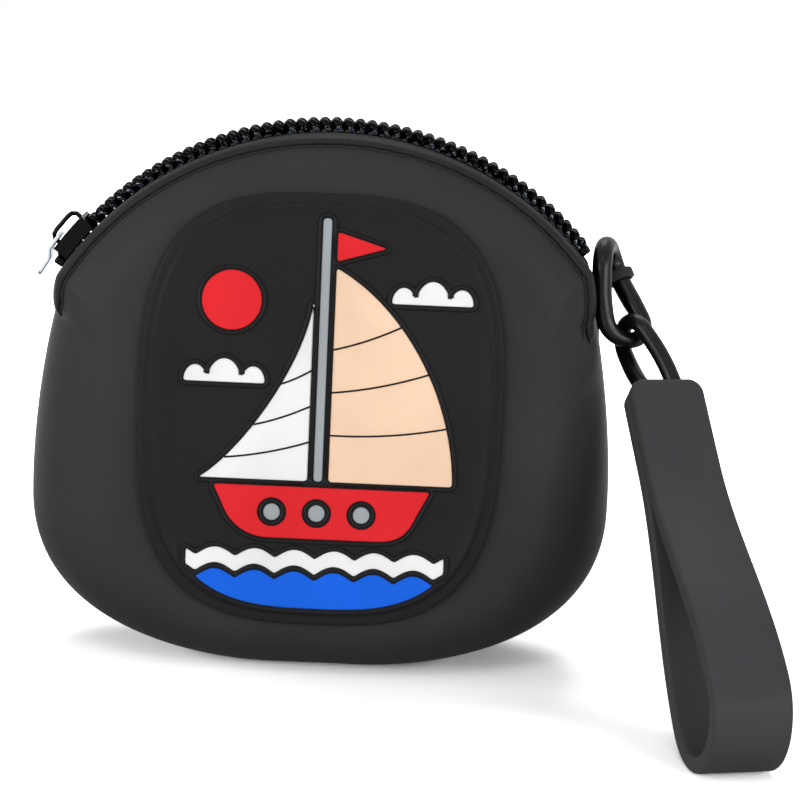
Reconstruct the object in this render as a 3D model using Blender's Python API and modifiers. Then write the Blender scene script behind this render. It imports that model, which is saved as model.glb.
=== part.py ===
"""Silicone zip pouch with a rubber patch, two twisted links and a looped wrist strap.

Units are metres, +Z is up and the front faces -Y. The origin is the middle of the flat base.
The zip runs on one true circle about ZIP_CENTRE, so its slider turns about that centre.
"""
import math

import bmesh
import bpy
from mathutils import Matrix, Vector

MM = 0.001
GAP = 0.3 * MM
OVERRUN = 2.0 * MM
MERGE = 0.05 * MM
WELD = 0.005 * MM
NORMAL_STEP = 0.01

# Zip circle, in the plane y = 0
ZIP_CENTRE_X = 1.2 * MM
ZIP_CENTRE_Z = 44.2 * MM
COIL_TOP = 69.0 * MM
COIL_HEIGHT = 2.8 * MM
COIL_Y = 2.0 * MM
COIL_NECK_R = 1.05 * MM
COIL_PITCH = 2.4 * MM
COIL_SIDES = 6
COIL_START = math.radians(-55.2)
COIL_END = math.radians(47.9)
COIL_STAND = 2.4 * MM

# Moulded body
WALL = 2.2 * MM
MOUTH_HALF = 6.6 * MM
MOUTH_LEFT = math.radians(57.5)
MOUTH_RIGHT = math.radians(52.0)
SHOULDER_LEAD = 1.0 * MM
SHOULDER_PULL_X = 60.4 * MM
SHOULDER_PULL_Z = 58.0 * MM
WAIST_HALF = 60.1 * MM
WAIST_Z = 33.5 * MM
CORNER_LEAD = 29.0 * MM
CORNER_PULL_X = 24.0 * MM
BASE_HALF = 9.0 * MM
BASE_PRESS = 0.8 * MM
BASE_HALF_DEPTH = 23.5 * MM
HEAD_HALF_DEPTH = 12.0 * MM
SIDE_ROLL = 22.0 * MM
TOP_ROLL = 7.0 * MM
BASE_ROLL = 15.0 * MM
ROLL_STEPS = 6
ARC_STATIONS = 12
SHOULDER_STATIONS = 6
CORNER_STATIONS = 9
BASE_STATIONS = 2

# Raised bands along the mouth
BAND_THICK = 1.0 * MM
BAND_TOP_WIDTH = 3.1 * MM
BAND_SIDE_WIDTH = 4.2 * MM
BAND_ROWS = 4
BAND_LEFT_REACH = 2.0
BAND_RIGHT_REACH = 2.6
BAND_LOBE = 1.2
SKIN_SPLITS = 6
LOBE_SHARES = (0.0, 0.35, 0.65, 0.85, 1.0)
LOBE_TIP_SHARE = 0.1

# Zip tapes
TAPE_THICK = 0.5 * MM
TAPE_EDGE_Y = 0.8 * MM
TAPE_FLAT_IN = 1.9 * MM
TAPE_DROP_IN = 0.7 * MM
TAPE_SIDE_ROOM = 2.4 * MM
TAPE_ROOM = 0.8 * MM
TAPE_PAST = math.radians(0.2)
TAPE_STATIONS = 34

# Stops at the two ends of the coils
STOP_LENGTH = 1.8 * MM
STOP_WIDTH = 2.4 * MM
STOP_HEIGHT = 2.2 * MM

# Stitching thread below each band
THREAD_R = 0.35 * MM
THREAD_SHORT = 0.4
THREAD_STEPS = 30

# Slider and its pull
SLIDER_ANGLE = math.radians(-51.3)
SLIDER_LENGTH = 8.6 * MM
SLIDER_PLATE = 0.7 * MM
SLIDER_FLANGE = 0.6 * MM
SLIDER_FLANGE_DROP = 2.6 * MM
POST_THICK = 0.6 * MM
POST_LENGTH = 1.8 * MM
POST_SETBACK = 0.3 * MM
BRIDGE_R = 0.5 * MM
BRIDGE_LENGTH = 6.8 * MM
BRIDGE_ROOM = 1.5 * MM
BRIDGE_SHARES = ((-1.0, 0.0), (-1.0, 0.6), (-0.8, 0.92), (-0.5, 1.0),
                 (0.5, 1.0), (0.8, 0.92), (1.0, 0.6), (1.0, 0.0))
PULL_WIDTH = 5.4 * MM
PULL_LENGTH = 5.0 * MM
PULL_TIP = 0.7 * MM
PULL_STEPS = 3
PULL_THICK = 0.8 * MM
PULL_NECK = 2.6 * MM
PULL_LIMB = 1.3 * MM
PULL_BAR = 0.9 * MM

# Twisted links
WIRE_R = 1.7 * MM
LINK_POINTS = 36
LINK_ROUND_STEPS = 3
LEAN_STEPS = 30
BODY_LINK_HALF_LENGTH = 10.1 * MM
BODY_LINK_HALF_WIDTH = 4.6 * MM
BODY_LINK_REACH = 1.455
BODY_LINK_OUT = 6.04 * MM
BODY_LINK_Y = -0.5 * MM
BODY_LINK_HEADING = math.radians(-45.0)
BODY_LINK_DROP = math.radians(65.0)
BODY_LINK_TURN = math.radians(-55.0)
BODY_LINK_TWIST = math.radians(22.0)
BODY_LINK_BOW = 1.2 * MM
STRAP_LINK_HALF_LENGTH = 10.4 * MM
STRAP_LINK_TOP_HALF = 4.6 * MM
STRAP_LINK_END_HALF = 2.3 * MM
STRAP_LINK_SKEW = math.radians(17.0)
STRAP_LINK_FLAT = -1.3
STRAP_SHIFT = 0.2 * MM
LINK_GAP = 0.35 * MM

# Side lug that holds the first link
LUG_SHARE = 0.31
LUG_PLATE = 3.4 * MM
LUG_WALL = 1.1 * MM
LUG_BORE_GAP = 0.4 * MM
LUG_ROOT = 6.0 * MM
LUG_ROUND_POINTS = 10
LUG_HOLE_POINTS = 16

# Wrist strap, one moulded band folded into a loop
STRAP_WIDTH = 15.4 * MM
STRAP_THICK = 3.3 * MM
STRAP_LENGTH = 84.0 * MM
STRAP_LOOP_R = 12.4 * MM
STRAP_BLOCK = 20.0 * MM
STRAP_HEADING = math.radians(13.0)
STRAP_CORNER = 3.0 * MM
CORNER_STEPS = 3
STRAP_GRIP = 5.0 * MM
STRAP_PART_SHARE = 0.04
LOOP_POINTS = 14
FLARE_POINTS = 8

# Rubber patch on the front
PATCH_HALF_WIDTH = 36.5 * MM
PATCH_HALF_HEIGHT = 43.5 * MM
PATCH_HEAD_ROOM = 10.2 * MM
PATCH_SQUARENESS = 0.66
PATCH_POINTS = 48
PATCH_THICK = 1.8 * MM
PATCH_RIM = 2.2 * MM
PATCH_RIM_STEP = 0.5 * MM
POCKET_DEPTH = 0.9 * MM
INLAY_THICK = 0.6 * MM

# The motif on the patch: a sailing boat, heights from the patch's middle
LINE_WIDTH = 1.2 * MM
DECK = -15.4 * MM
HULL_HALF = 21.0 * MM
HULL_DEPTH = 10.5 * MM
HULL_LIP_SHARE = 1.08
HULL_BOW_SHARES = ((0.95, 0.5), (0.85, 1.0), (0.7, 1.0), (0.5, 1.0))
HULL_STERN_SHARES = ((-0.45, 1.0), (-0.65, 1.0), (-0.8, 0.8), (-0.88, 0.5))
PORT_R = 1.7 * MM
PORT_STEP = 9.0 * MM
MAST_HALF = 0.9 * MM
MAST_TOP = 38.6 * MM
SAIL_REACH = 27.0 * MM
SAIL_RISE = 43.0 * MM
SAIL_BELLY_SHARES = ((0.98, 0.45), (0.55, 0.85))
JIB_REACH = 24.0 * MM
JIB_RISE = 36.0 * MM
JIB_BELLY_SHARES = ((0.17, 0.6), (0.7, 0.12))
FLAG_LENGTH = 10.0 * MM
FLAG_RISE = 6.0 * MM
FLAG_DROP = 2.6 * MM
SUN_X = -18.5 * MM
SUN_Y = 21.6 * MM
SUN_R = 6.0 * MM
CLOUD_X = 21.5 * MM
CLOUD_Y = 22.1 * MM
CLOUD_LOW_X = 19.5 * MM
CLOUD_LOW_Y = 5.1 * MM
CLOUD_PUFF = 2.4 * MM
CLOUD_CROWN = 3.4 * MM
CLOUD_RISE_SHARE = 1.4
PUFF_POINTS = 6
DISC_POINTS = 16
SUN_POINTS = 20
PORT_POINTS = 12
CURVE_POINTS = 6
SAIL_POINTS = 8
SEA_LEVEL = -34.4 * MM
WAVE_LENGTH = 8.0 * MM
WAVE_POINTS = 24
WAVE_RISE = 1.8 * MM
FOAM_HALF = 26.0 * MM
FOAM_WIDTH = 3.2 * MM

SILICONE = (0.030, 0.030, 0.031)
BAND_SILICONE = (0.045, 0.045, 0.047)
STRAP_SILICONE = (0.050, 0.050, 0.052)
TAPE_BLACK = (0.008, 0.008, 0.009)
COIL_BLACK = (0.006, 0.006, 0.007)
METAL_BLACK = (0.011, 0.012, 0.013)
PULL_METAL = (0.30, 0.33, 0.36)
BLACK = (0.012, 0.012, 0.013)
WHITE = (0.85, 0.85, 0.85)
GREY = (0.40, 0.43, 0.45)
PEACH = (0.95, 0.72, 0.53)
RED = (0.72, 0.03, 0.04)
BLUE = (0.02, 0.16, 0.80)
COLLECTION = 'silicone_pouch'
CUTTERS = 'cutters'


def clear_scene():
    for item in list(bpy.data.objects):
        bpy.data.objects.remove(item, do_unlink=True)


def collection(name):
    group = bpy.data.collections.new(name)
    bpy.context.scene.collection.children.link(group)
    return group


def finish(name, mesh, colour, roughness, metallic=0.0, smooth=40.0):
    """Put a mesh in the part's collection under its own name, with its own material."""
    material = bpy.data.materials.new(name)
    material.use_nodes = True
    shader = material.node_tree.nodes['Principled BSDF']
    shader.inputs['Base Color'].default_value = (*colour, 1.0)
    shader.inputs['Roughness'].default_value = roughness
    shader.inputs['Metallic'].default_value = metallic
    mesh.materials.clear()
    mesh.materials.append(material)
    mesh.shade_smooth()
    mesh.set_sharp_from_angle(angle=math.radians(smooth))
    item = bpy.data.objects.new(name, mesh)
    PARTS.objects.link(item)
    return item


def loft(name, rings):
    """Join closed rings of points into one mesh, with the two end rings capped."""
    shape = bmesh.new()
    rows = [[shape.verts.new(point) for point in ring] for ring in rings]
    count = len(rings[0])
    for one, two in zip(rows, rows[1:]):
        for i in range(count):
            j = (i + 1) % count
            shape.faces.new((one[i], one[j], two[j], two[i]))
    shape.faces.new(rows[0])
    shape.faces.new(rows[-1])
    bmesh.ops.recalc_face_normals(shape, faces=shape.faces)
    mesh = bpy.data.meshes.new(name)
    shape.to_mesh(mesh)
    shape.free()
    return mesh


def mesh_of_curve(item):
    """The welded mesh of a curve object in world space. The curve is removed."""
    graph = bpy.context.evaluated_depsgraph_get()
    mesh = bpy.data.meshes.new_from_object(item.evaluated_get(graph))
    mesh.transform(item.matrix_world)
    shape = bmesh.new()
    shape.from_mesh(mesh)
    bmesh.ops.remove_doubles(shape, verts=shape.verts, dist=WELD)
    bmesh.ops.recalc_face_normals(shape, faces=shape.faces)
    shape.to_mesh(mesh)
    shape.free()
    bpy.data.objects.remove(item, do_unlink=True)
    return mesh


def tube_mesh(name, points, radius, resolution, cyclic=False):
    curve = bpy.data.curves.new(name, 'CURVE')
    curve.dimensions = '3D'
    curve.bevel_depth = radius
    curve.bevel_resolution = resolution
    curve.use_fill_caps = not cyclic
    line = curve.splines.new('POLY')
    line.points.add(len(points) - 1)
    for spot, point in zip(line.points, points):
        spot.co = (*point, 1.0)
    line.use_cyclic_u = cyclic
    item = bpy.data.objects.new(name, curve)
    TOOLS.objects.link(item)
    bpy.context.view_layer.update()
    return mesh_of_curve(item)


def plate_mesh(name, outlines, thick, frame, low=0.0):
    """A flat plate from closed outlines, the inner ones holes, between low and low + thick."""
    curve = bpy.data.curves.new(name, 'CURVE')
    curve.dimensions = '2D'
    curve.fill_mode = 'BOTH'
    curve.extrude = thick / 2
    for outline in outlines:
        line = curve.splines.new('POLY')
        line.points.add(len(outline) - 1)
        for spot, (x, y) in zip(line.points, outline):
            spot.co = (x, y, 0.0, 1.0)
        line.use_cyclic_u = True
    item = bpy.data.objects.new(name, curve)
    item.matrix_world = frame @ Matrix.Translation((0.0, 0.0, low + thick / 2))
    TOOLS.objects.link(item)
    bpy.context.view_layer.update()
    return mesh_of_curve(item)


def boolean(item, tool, operation='DIFFERENCE'):
    step = item.modifiers.new(tool.name, 'BOOLEAN')
    step.operation = operation
    step.solver = 'EXACT'
    step.object = tool


def tool_object(name, mesh):
    item = bpy.data.objects.new(name, mesh)
    TOOLS.objects.link(item)
    item.hide_render = True
    item.display_type = 'WIRE'
    return item


def bezier(a, b, c, d, t):
    s = 1.0 - t
    return tuple(s ** 3 * p + 3 * s * s * t * q + 3 * s * t * t * r + t ** 3 * w
                 for p, q, r, w in zip(a, b, c, d))


def zip_point(angle, radius, y):
    return Vector((ZIP_CENTRE_X + radius * math.sin(angle), y, ZIP_CENTRE_Z + radius * math.cos(angle)))


# Radii that follow from the zip circle
COIL_MID = COIL_TOP - COIL_HEIGHT / 2
TAPE_TOP = COIL_TOP - COIL_HEIGHT - GAP / 2
BAND_CREST = COIL_TOP - COIL_STAND
RIM = BAND_CREST - BAND_THICK - GAP
TAPE_UNDER = RIM - WALL - TAPE_ROOM

# The front and back lean in towards the mouth, and the patch hangs below the body's crown
FRONT_TILT = math.atan((BASE_HALF_DEPTH - HEAD_HALF_DEPTH) / (ZIP_CENTRE_Z + RIM))
PATCH_MIDDLE = (ZIP_CENTRE_Z + RIM) / math.cos(FRONT_TILT) - PATCH_HEAD_ROOM - PATCH_HALF_HEIGHT

# Stations along the right half of the body's outline, from the top to the base
STATIONS = ARC_STATIONS + SHOULDER_STATIONS + CORNER_STATIONS + BASE_STATIONS
MOUTH_ROUND_STATIONS = 2


def edge_point(station):
    """A point (x, z) of the body's outline. Negative stations are its left half."""
    side, mouth = (-1.0, MOUTH_LEFT) if station < 0 else (1.0, MOUTH_RIGHT)
    k = abs(station)
    start = (side * ZIP_CENTRE_X + RIM * math.sin(mouth), ZIP_CENTRE_Z + RIM * math.cos(mouth))
    if k <= ARC_STATIONS:
        rim = zip_point(side * mouth * k / ARC_STATIONS, RIM, 0.0)
        return rim.x, rim.z
    k -= ARC_STATIONS
    if k <= SHOULDER_STATIONS:
        lead = (start[0] + SHOULDER_LEAD * math.cos(mouth),
                start[1] - SHOULDER_LEAD * math.sin(mouth))
        x, z = bezier(start, lead, (SHOULDER_PULL_X, SHOULDER_PULL_Z),
                      (WAIST_HALF, WAIST_Z), k / SHOULDER_STATIONS)
        return side * x, z
    k -= SHOULDER_STATIONS
    if k <= CORNER_STATIONS:
        x, z = bezier((WAIST_HALF, WAIST_Z), (WAIST_HALF, WAIST_Z - CORNER_LEAD),
                      (CORNER_PULL_X, -BASE_PRESS), (BASE_HALF, -BASE_PRESS),
                      k / CORNER_STATIONS)
        return side * x, z
    k -= CORNER_STATIONS
    return side * BASE_HALF * (1.0 - k / BASE_STATIONS), -BASE_PRESS


def half_depth(z):
    return BASE_HALF_DEPTH - z * math.tan(FRONT_TILT)


def mouth_half(station):
    past = (abs(station) - ARC_STATIONS) / MOUTH_ROUND_STATIONS
    if past <= 0:
        return MOUTH_HALF
    return MOUTH_HALF * math.sqrt(max(0.0, 1.0 - past * past))


def roll_width(station):
    x, z = edge_point(station)
    across = x - ZIP_CENTRE_X
    rise = z - ZIP_CENTRE_Z
    sideways = (across * across / (across * across + rise * rise)) ** 2
    plain = TOP_ROLL if rise > 0 else BASE_ROLL
    return plain + (SIDE_ROLL - plain) * sideways


def surface(station, roll):
    """A point of the front half of the outer skin. roll is 0 at the edge, pi/2 on the flat."""
    x, z = edge_point(station)
    inward = Vector((ZIP_CENTRE_X - x, 0.0, ZIP_CENTRE_Z - z)).normalized()
    drawn = roll_width(station) * (1.0 - math.cos(roll))
    x += inward.x * drawn
    z += inward.z * drawn
    opening = mouth_half(station)
    depth = opening + (half_depth(z) - opening) * math.sin(roll)
    return Vector((x, -depth, max(z, 0.0)))


def normal(station, roll):
    step = NORMAL_STEP
    along = surface(station + step, roll) - surface(station - step, roll)
    across = surface(station, roll + step) - surface(station, roll - step)
    facing = along.cross(across).normalized()
    out = surface(station, roll) - zip_point(0.0, 0.0, 0.0)
    return facing if facing.dot(out) > 0 else -facing


def skin_half(name, offset=0.0, sealed=False):
    """The front half of the skin, open at the middle plane.

    A sealed skin runs on to the middle plane, so that the mouth is closed.
    """
    shape = bmesh.new()
    rows = []
    for station in range(-STATIONS, STATIONS + 1):
        row = []
        for step in range(ROLL_STEPS + 1):
            roll = math.pi / 2 * step / ROLL_STEPS
            point = surface(station, roll)
            if offset:
                point = point + normal(station, roll) * offset
            if abs(station) == STATIONS:
                point.x = 0.0
            if step == 0 and not mouth_half(station):
                point.y = 0.0
            row.append(shape.verts.new(point))
        if sealed:
            row.insert(0, shape.verts.new((row[0].co.x, 0.0, row[0].co.z)))
        rows.append(row)
    for one, two in zip(rows, rows[1:]):
        for i in range(len(one) - 1):
            shape.faces.new((one[i], one[i + 1], two[i + 1], two[i]))
    shape.faces.new([row[-1] for row in rows[1:]][::-1])
    bmesh.ops.remove_doubles(shape, verts=shape.verts, dist=MERGE)
    mesh = bpy.data.meshes.new(name)
    shape.to_mesh(mesh)
    shape.free()
    return mesh


def mirror_half(item):
    step = item.modifiers.new('halves', 'MIRROR')
    step.use_axis = (False, True, False)
    step.merge_threshold = MERGE


def make_body():
    body = finish('body_shell', skin_half('body_shell'), SILICONE, 0.55)
    mirror_half(body)
    wall = body.modifiers.new('wall', 'SOLIDIFY')
    wall.thickness = WALL
    wall.offset = -1.0
    wall.use_even_offset = True
    return body


def body_plug(name, offset):
    """The closed space that the body fills, grown by an offset, as a cutter."""
    item = tool_object(name, skin_half(name, offset, sealed=True))
    mirror_half(item)
    return item


def skin_reach(station):
    """How far the skin comes forward from the mouth's edge to the flat front."""
    return half_depth(edge_point(station)[1]) - mouth_half(station)


def roll_after(station, roll, distance):
    """The roll angle that lies a distance further on along the skin."""
    for _ in range(SKIN_SPLITS):
        speed = math.hypot(roll_width(station) * math.sin(roll), skin_reach(station) * math.cos(roll))
        roll += distance / (SKIN_SPLITS * speed)
    return roll


def band_width(station):
    """A band's width along the skin, which grows from the pouch's top to its sides."""
    sideways = (roll_width(station) - TOP_ROLL) / (SIDE_ROLL - TOP_ROLL)
    return BAND_TOP_WIDTH + (BAND_SIDE_WIDTH - BAND_TOP_WIDTH) * sideways


def band_rolls(station):
    """The roll angles of a band's inner and outer edges."""
    past = (MOUTH_HALF - mouth_half(station)) / skin_reach(station)
    first = math.asin(min(1.0, max(0.0, past)))
    return first, roll_after(station, first, band_width(station))


def band_end(station):
    """The station where a band ends on the side that this station is on."""
    return ARC_STATIONS + (BAND_LEFT_REACH if station < 0 else BAND_RIGHT_REACH)


def half_stations(side):
    """A band's stations from the top of the zip to its end on one side."""
    start = band_end(side) - BAND_LOBE
    plain = [side * float(k) for k in range(math.ceil(start))]
    return plain + [side * (start + BAND_LOBE * share) for share in LOBE_SHARES]


def make_band(name, side):
    rings = []
    for station in half_stations(-1)[:0:-1] + half_stations(1):
        first, last = band_rolls(station)
        past = (abs(station) - band_end(station) + BAND_LOBE) / BAND_LOBE
        spread = math.sqrt(max(LOBE_TIP_SHARE, 1.0 - past * past)) if past > 0 else 1.0
        middle = (first + last) / 2
        inner = []
        outer = []
        for row in range(BAND_ROWS + 1):
            roll = middle + (last - first) * spread * (row / BAND_ROWS - 0.5)
            point = surface(station, roll)
            facing = normal(station, roll)
            inner.append(point + facing * GAP)
            outer.append(point + facing * (GAP + BAND_THICK))
        ring = inner + outer[::-1]
        rings.append([Vector((p.x, p.y * side, p.z)) for p in ring])
    return finish(name, loft(name, rings), BAND_SILICONE, 0.5)


def make_thread(name, side):
    start = THREAD_SHORT - band_end(-1)
    end = band_end(1) - THREAD_SHORT
    points = []
    for i in range(THREAD_STEPS + 1):
        station = start + (end - start) * i / THREAD_STEPS
        roll = roll_after(station, band_rolls(station)[1], GAP + THREAD_R)
        point = surface(station, roll) + normal(station, roll) * (GAP + THREAD_R)
        points.append((point.x, point.y * side, point.z))
    return finish(name, tube_mesh(name, points, THREAD_R, 1), BLACK, 0.8)


def sweep_zip(name, profile, start, end, steps):
    """Sweep a closed (y, radius) profile along the zip circle."""
    rings = []
    for i in range(steps + 1):
        angle = start + (end - start) * i / steps
        rings.append([zip_point(angle, radius, y) for y, radius in profile])
    return loft(name, rings)


def make_tape(name, side):
    line = [(TAPE_EDGE_Y, TAPE_TOP), (MOUTH_HALF - TAPE_FLAT_IN, TAPE_TOP),
            (MOUTH_HALF - TAPE_DROP_IN, TAPE_UNDER),
            (HEAD_HALF_DEPTH - WALL - TAPE_SIDE_ROOM, TAPE_UNDER)]
    under = [(y, radius - TAPE_THICK) for y, radius in line[::-1]]
    profile = [(side * y, radius) for y, radius in line + under]
    mesh = sweep_zip(name, profile, -MOUTH_LEFT - TAPE_PAST, MOUTH_RIGHT + TAPE_PAST, TAPE_STATIONS)
    return finish(name, mesh, TAPE_BLACK, 0.9)


def make_coil(name, side, shift):
    length = (COIL_END - COIL_START) * COIL_MID
    bumps = round(length / COIL_PITCH)
    rings = []
    for i in range(2 * bumps + 1):
        angle = COIL_START + (COIL_END - COIL_START) * i / (2 * bumps)
        radius = COIL_HEIGHT / 2 if (i + shift) % 2 else COIL_NECK_R
        rings.append([zip_point(angle, COIL_MID + radius * math.cos(turn),
                                side * COIL_Y + radius * math.sin(turn))
                      for turn in (math.tau * k / COIL_SIDES for k in range(COIL_SIDES))])
    return finish(name, loft(name, rings), COIL_BLACK, 0.2)


def make_stop(name, angle, half_width, y):
    low = TAPE_TOP + GAP
    profile = [(y - half_width, low), (y + half_width, low),
               (y + half_width, low + STOP_HEIGHT), (y - half_width, low + STOP_HEIGHT)]
    half = STOP_LENGTH / 2 / COIL_MID
    mesh = sweep_zip(name, profile, angle - half, angle + half, 1)
    return finish(name, mesh, METAL_BLACK, 0.3)


def make_stops():
    room = (STOP_LENGTH / 2 + GAP) / COIL_MID
    for name, y in (('top_stop_front', -COIL_Y), ('top_stop_back', COIL_Y)):
        make_stop(name, COIL_START - room, STOP_WIDTH / 2, y)
    make_stop('bottom_stop', COIL_END + room, COIL_Y + STOP_WIDTH / 2, 0.0)


def make_slider():
    """Top plate with flanges, post and bottom plate, with the bridge that holds the pull."""
    half = SLIDER_LENGTH / 2 / COIL_MID
    start = SLIDER_ANGLE - half
    end = SLIDER_ANGLE + half
    under = COIL_TOP + GAP
    inner = COIL_Y + COIL_HEIGHT / 2 + GAP
    outer = inner + SLIDER_FLANGE
    foot = under - SLIDER_FLANGE_DROP
    crown = under + SLIDER_PLATE
    profile = [(-outer, foot), (-inner, foot), (-inner, under), (inner, under),
               (inner, foot), (outer, foot), (outer, crown), (-outer, crown)]
    top = sweep_zip('slider_body', profile, start, end, 3)
    body = finish('slider_body', top, METAL_BLACK, 0.2, 0.6)
    shelf = TAPE_TOP - TAPE_THICK - GAP
    plate = [(-outer, shelf - SLIDER_PLATE), (outer, shelf - SLIDER_PLATE),
             (outer, shelf), (-outer, shelf)]
    boolean(body, tool_object('slider_plate', sweep_zip('slider_plate', plate, start, end, 3)), 'UNION')
    post = [(-POST_THICK / 2, shelf - SLIDER_PLATE / 2), (POST_THICK / 2, shelf - SLIDER_PLATE / 2),
            (POST_THICK / 2, under + SLIDER_PLATE / 2), (-POST_THICK / 2, under + SLIDER_PLATE / 2)]
    tip = start + POST_SETBACK / COIL_MID
    nose = tip + POST_LENGTH / COIL_MID
    boolean(body, tool_object('slider_post', sweep_zip('slider_post', post, tip, nose, 1)), 'UNION')
    root = under + SLIDER_PLATE / 2
    rise = SLIDER_PLATE / 2 + BRIDGE_ROOM + BRIDGE_R
    points = []
    for share_along, share_up in BRIDGE_SHARES:
        angle = SLIDER_ANGLE + share_along * BRIDGE_LENGTH / 2 / COIL_TOP
        points.append(zip_point(angle, root + share_up * rise, 0.0))
    boolean(body, tool_object('slider_bridge', tube_mesh('slider_bridge', points, BRIDGE_R, 2)), 'UNION')
    return body


def pull_radius():
    """The pull's bar lies midway between the slider's top plate and its bridge."""
    return COIL_TOP + GAP + SLIDER_PLATE + BRIDGE_ROOM / 2


def pull_angle():
    """Where the bar lies, against the bridge's lower leg."""
    return SLIDER_ANGLE - (BRIDGE_LENGTH / 2 - BRIDGE_R - GAP - PULL_BAR / 2) / COIL_TOP


def pull_pivot():
    return zip_point(pull_angle(), pull_radius(), 0.0)


def make_pull():
    """A tab with an eye. Past the slider it lies just clear of the coils and follows their arc."""
    bar = PULL_BAR / 2
    neck = bar + PULL_NECK
    low = COIL_TOP + GAP + PULL_THICK / 2
    shape = [(-bar, pull_radius(), PULL_WIDTH / 2), (bar, pull_radius(), PULL_WIDTH / 2),
             (neck, pull_radius(), PULL_WIDTH / 2)]
    shape += [(neck + PULL_LENGTH * i / PULL_STEPS, low, PULL_WIDTH / 2)
              for i in range(1, PULL_STEPS + 1)]
    shape.append((neck + PULL_LENGTH + PULL_TIP, low, PULL_WIDTH / 2 - PULL_TIP))
    pull = finish('pull_tab', pull_loft('pull_tab', shape, PULL_THICK), PULL_METAL, 0.25, 0.9)
    limb = PULL_WIDTH / 2 - PULL_LIMB
    eye = [(bar, pull_radius(), limb), (neck, pull_radius(), limb)]
    boolean(pull, tool_object('pull_eye', pull_loft('pull_eye', eye, PULL_THICK + OVERRUN)))
    return pull


def pull_loft(name, shape, thick):
    """A flat bar along the zip circle through (distance, radius, half width) places."""
    rings = []
    for distance, radius, half in shape:
        angle = pull_angle() - distance / COIL_TOP
        rings.append([zip_point(angle, radius + up * thick / 2, y * half)
                      for up, y in ((-1, -1), (1, -1), (1, 1), (-1, 1))])
    return loft(name, rings)


def round_share(c, half_length, top_r, end_r):
    """How far a link has opened at c, from 0 at its two round ends to 1 between them."""
    radius = top_r if c < 0 else end_r
    left = half_length * (1.0 - abs(c))
    return math.sqrt(1.0 - max(0.0, 1.0 - left / radius) ** 2)


def link_path(middle_at, half_length, top_half, end_half, long_axis, across, swing_at):
    """Centre line of a link. c runs from -1 at its top end to 1 at its lower end."""
    other = long_axis.cross(across)
    points = []
    for i in range(LINK_POINTS):
        t = math.tau * i / LINK_POINTS
        c = math.cos(t)
        half = top_half + (end_half - top_half) * (1.0 + c) / 2
        reach = math.copysign(half * round_share(c, half_length, top_half, end_half), math.sin(t))
        swing = swing_at(c)
        points.append(middle_at(c) + (across * math.cos(swing) + other * math.sin(swing)) * reach)
    return points


def direction(heading, drop):
    """A downward direction: drop below level, heading from +X towards +Y."""
    level = math.cos(drop)
    return Vector((level * math.cos(heading), level * math.sin(heading), -math.sin(drop)))


def body_link_axes():
    long_axis = direction(BODY_LINK_HEADING, BODY_LINK_DROP)
    return long_axis, long_axis.cross(Vector((0.0, 1.0, 0.0))).normalized()


def body_link_middle(c):
    """The line halfway between the first link's two bars. It bows towards the body."""
    long_axis, across = body_link_axes()
    shoulder_x, shoulder_z = edge_point(ARC_STATIONS + BODY_LINK_REACH)
    centre = Vector((shoulder_x + BODY_LINK_OUT, BODY_LINK_Y, shoulder_z))
    return centre + long_axis * (BODY_LINK_HALF_LENGTH * c) - across * (BODY_LINK_BOW * (1.0 - c * c))


def body_link_path():
    long_axis, across = body_link_axes()
    half = BODY_LINK_HALF_WIDTH
    return link_path(body_link_middle, BODY_LINK_HALF_LENGTH, half, half, long_axis, across,
                     lambda c: BODY_LINK_TURN + BODY_LINK_TWIST * math.sin(c * math.pi / 2))


def strap_axes(lean):
    """The strap's length, width and thickness directions at a lean from upright."""
    length = Vector((math.sin(lean) * math.sin(STRAP_HEADING),
                     -math.sin(lean) * math.cos(STRAP_HEADING), -math.cos(lean)))
    width = Vector((math.cos(STRAP_HEADING), math.sin(STRAP_HEADING), 0.0))
    return length, width, length.cross(width)


def strap_place():
    """The strap link's top, its long axis and the strap's mouth, with the loop on the floor."""
    seat = body_link_middle(1.0)
    lean = 0.0
    for _ in range(LEAN_STEPS):
        length, width, _thick = strap_axes(lean)
        long_axis = length * math.cos(STRAP_LINK_SKEW) + width * math.sin(STRAP_LINK_SKEW)
        top = seat - long_axis * (2 * WIRE_R + LINK_GAP)
        mouth = top + long_axis * (2 * STRAP_LINK_HALF_LENGTH - STRAP_GRIP) + width * STRAP_SHIFT
        lean = math.acos((mouth.z - STRAP_LOOP_R) / (STRAP_LENGTH - STRAP_LOOP_R))
    return top, long_axis, mouth, lean


def strap_link_path():
    """The second link: its lower end lies flat in the strap, its top crosses the first link."""
    top, long_axis, _mouth, lean = strap_place()
    first = body_link_path()
    crossed = (first[1] - first[-1]).normalized()
    flat = long_axis.cross(strap_axes(lean)[2]).normalized()
    crossing = long_axis.cross(crossed).normalized()
    turn = math.atan2(flat.cross(crossing).dot(long_axis), flat.dot(crossing))
    if abs(turn) > math.pi / 2:
        turn -= math.copysign(math.pi, turn)

    def swing(c):
        share = min(1.0, max(0.0, (-c - STRAP_LINK_FLAT) / (1.0 - STRAP_LINK_FLAT)))
        return turn * share * share * (3.0 - 2.0 * share)

    return link_path(lambda c: top + long_axis * (STRAP_LINK_HALF_LENGTH * (1.0 + c)),
                     STRAP_LINK_HALF_LENGTH, STRAP_LINK_TOP_HALF, STRAP_LINK_END_HALF,
                     long_axis, flat, swing)


def make_links():
    return [finish(name, tube_mesh(name, path, WIRE_R, LINK_ROUND_STEPS, cyclic=True), METAL_BLACK, 0.35)
            for name, path in (('body_link', body_link_path()), ('strap_link', strap_link_path()))]


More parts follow.
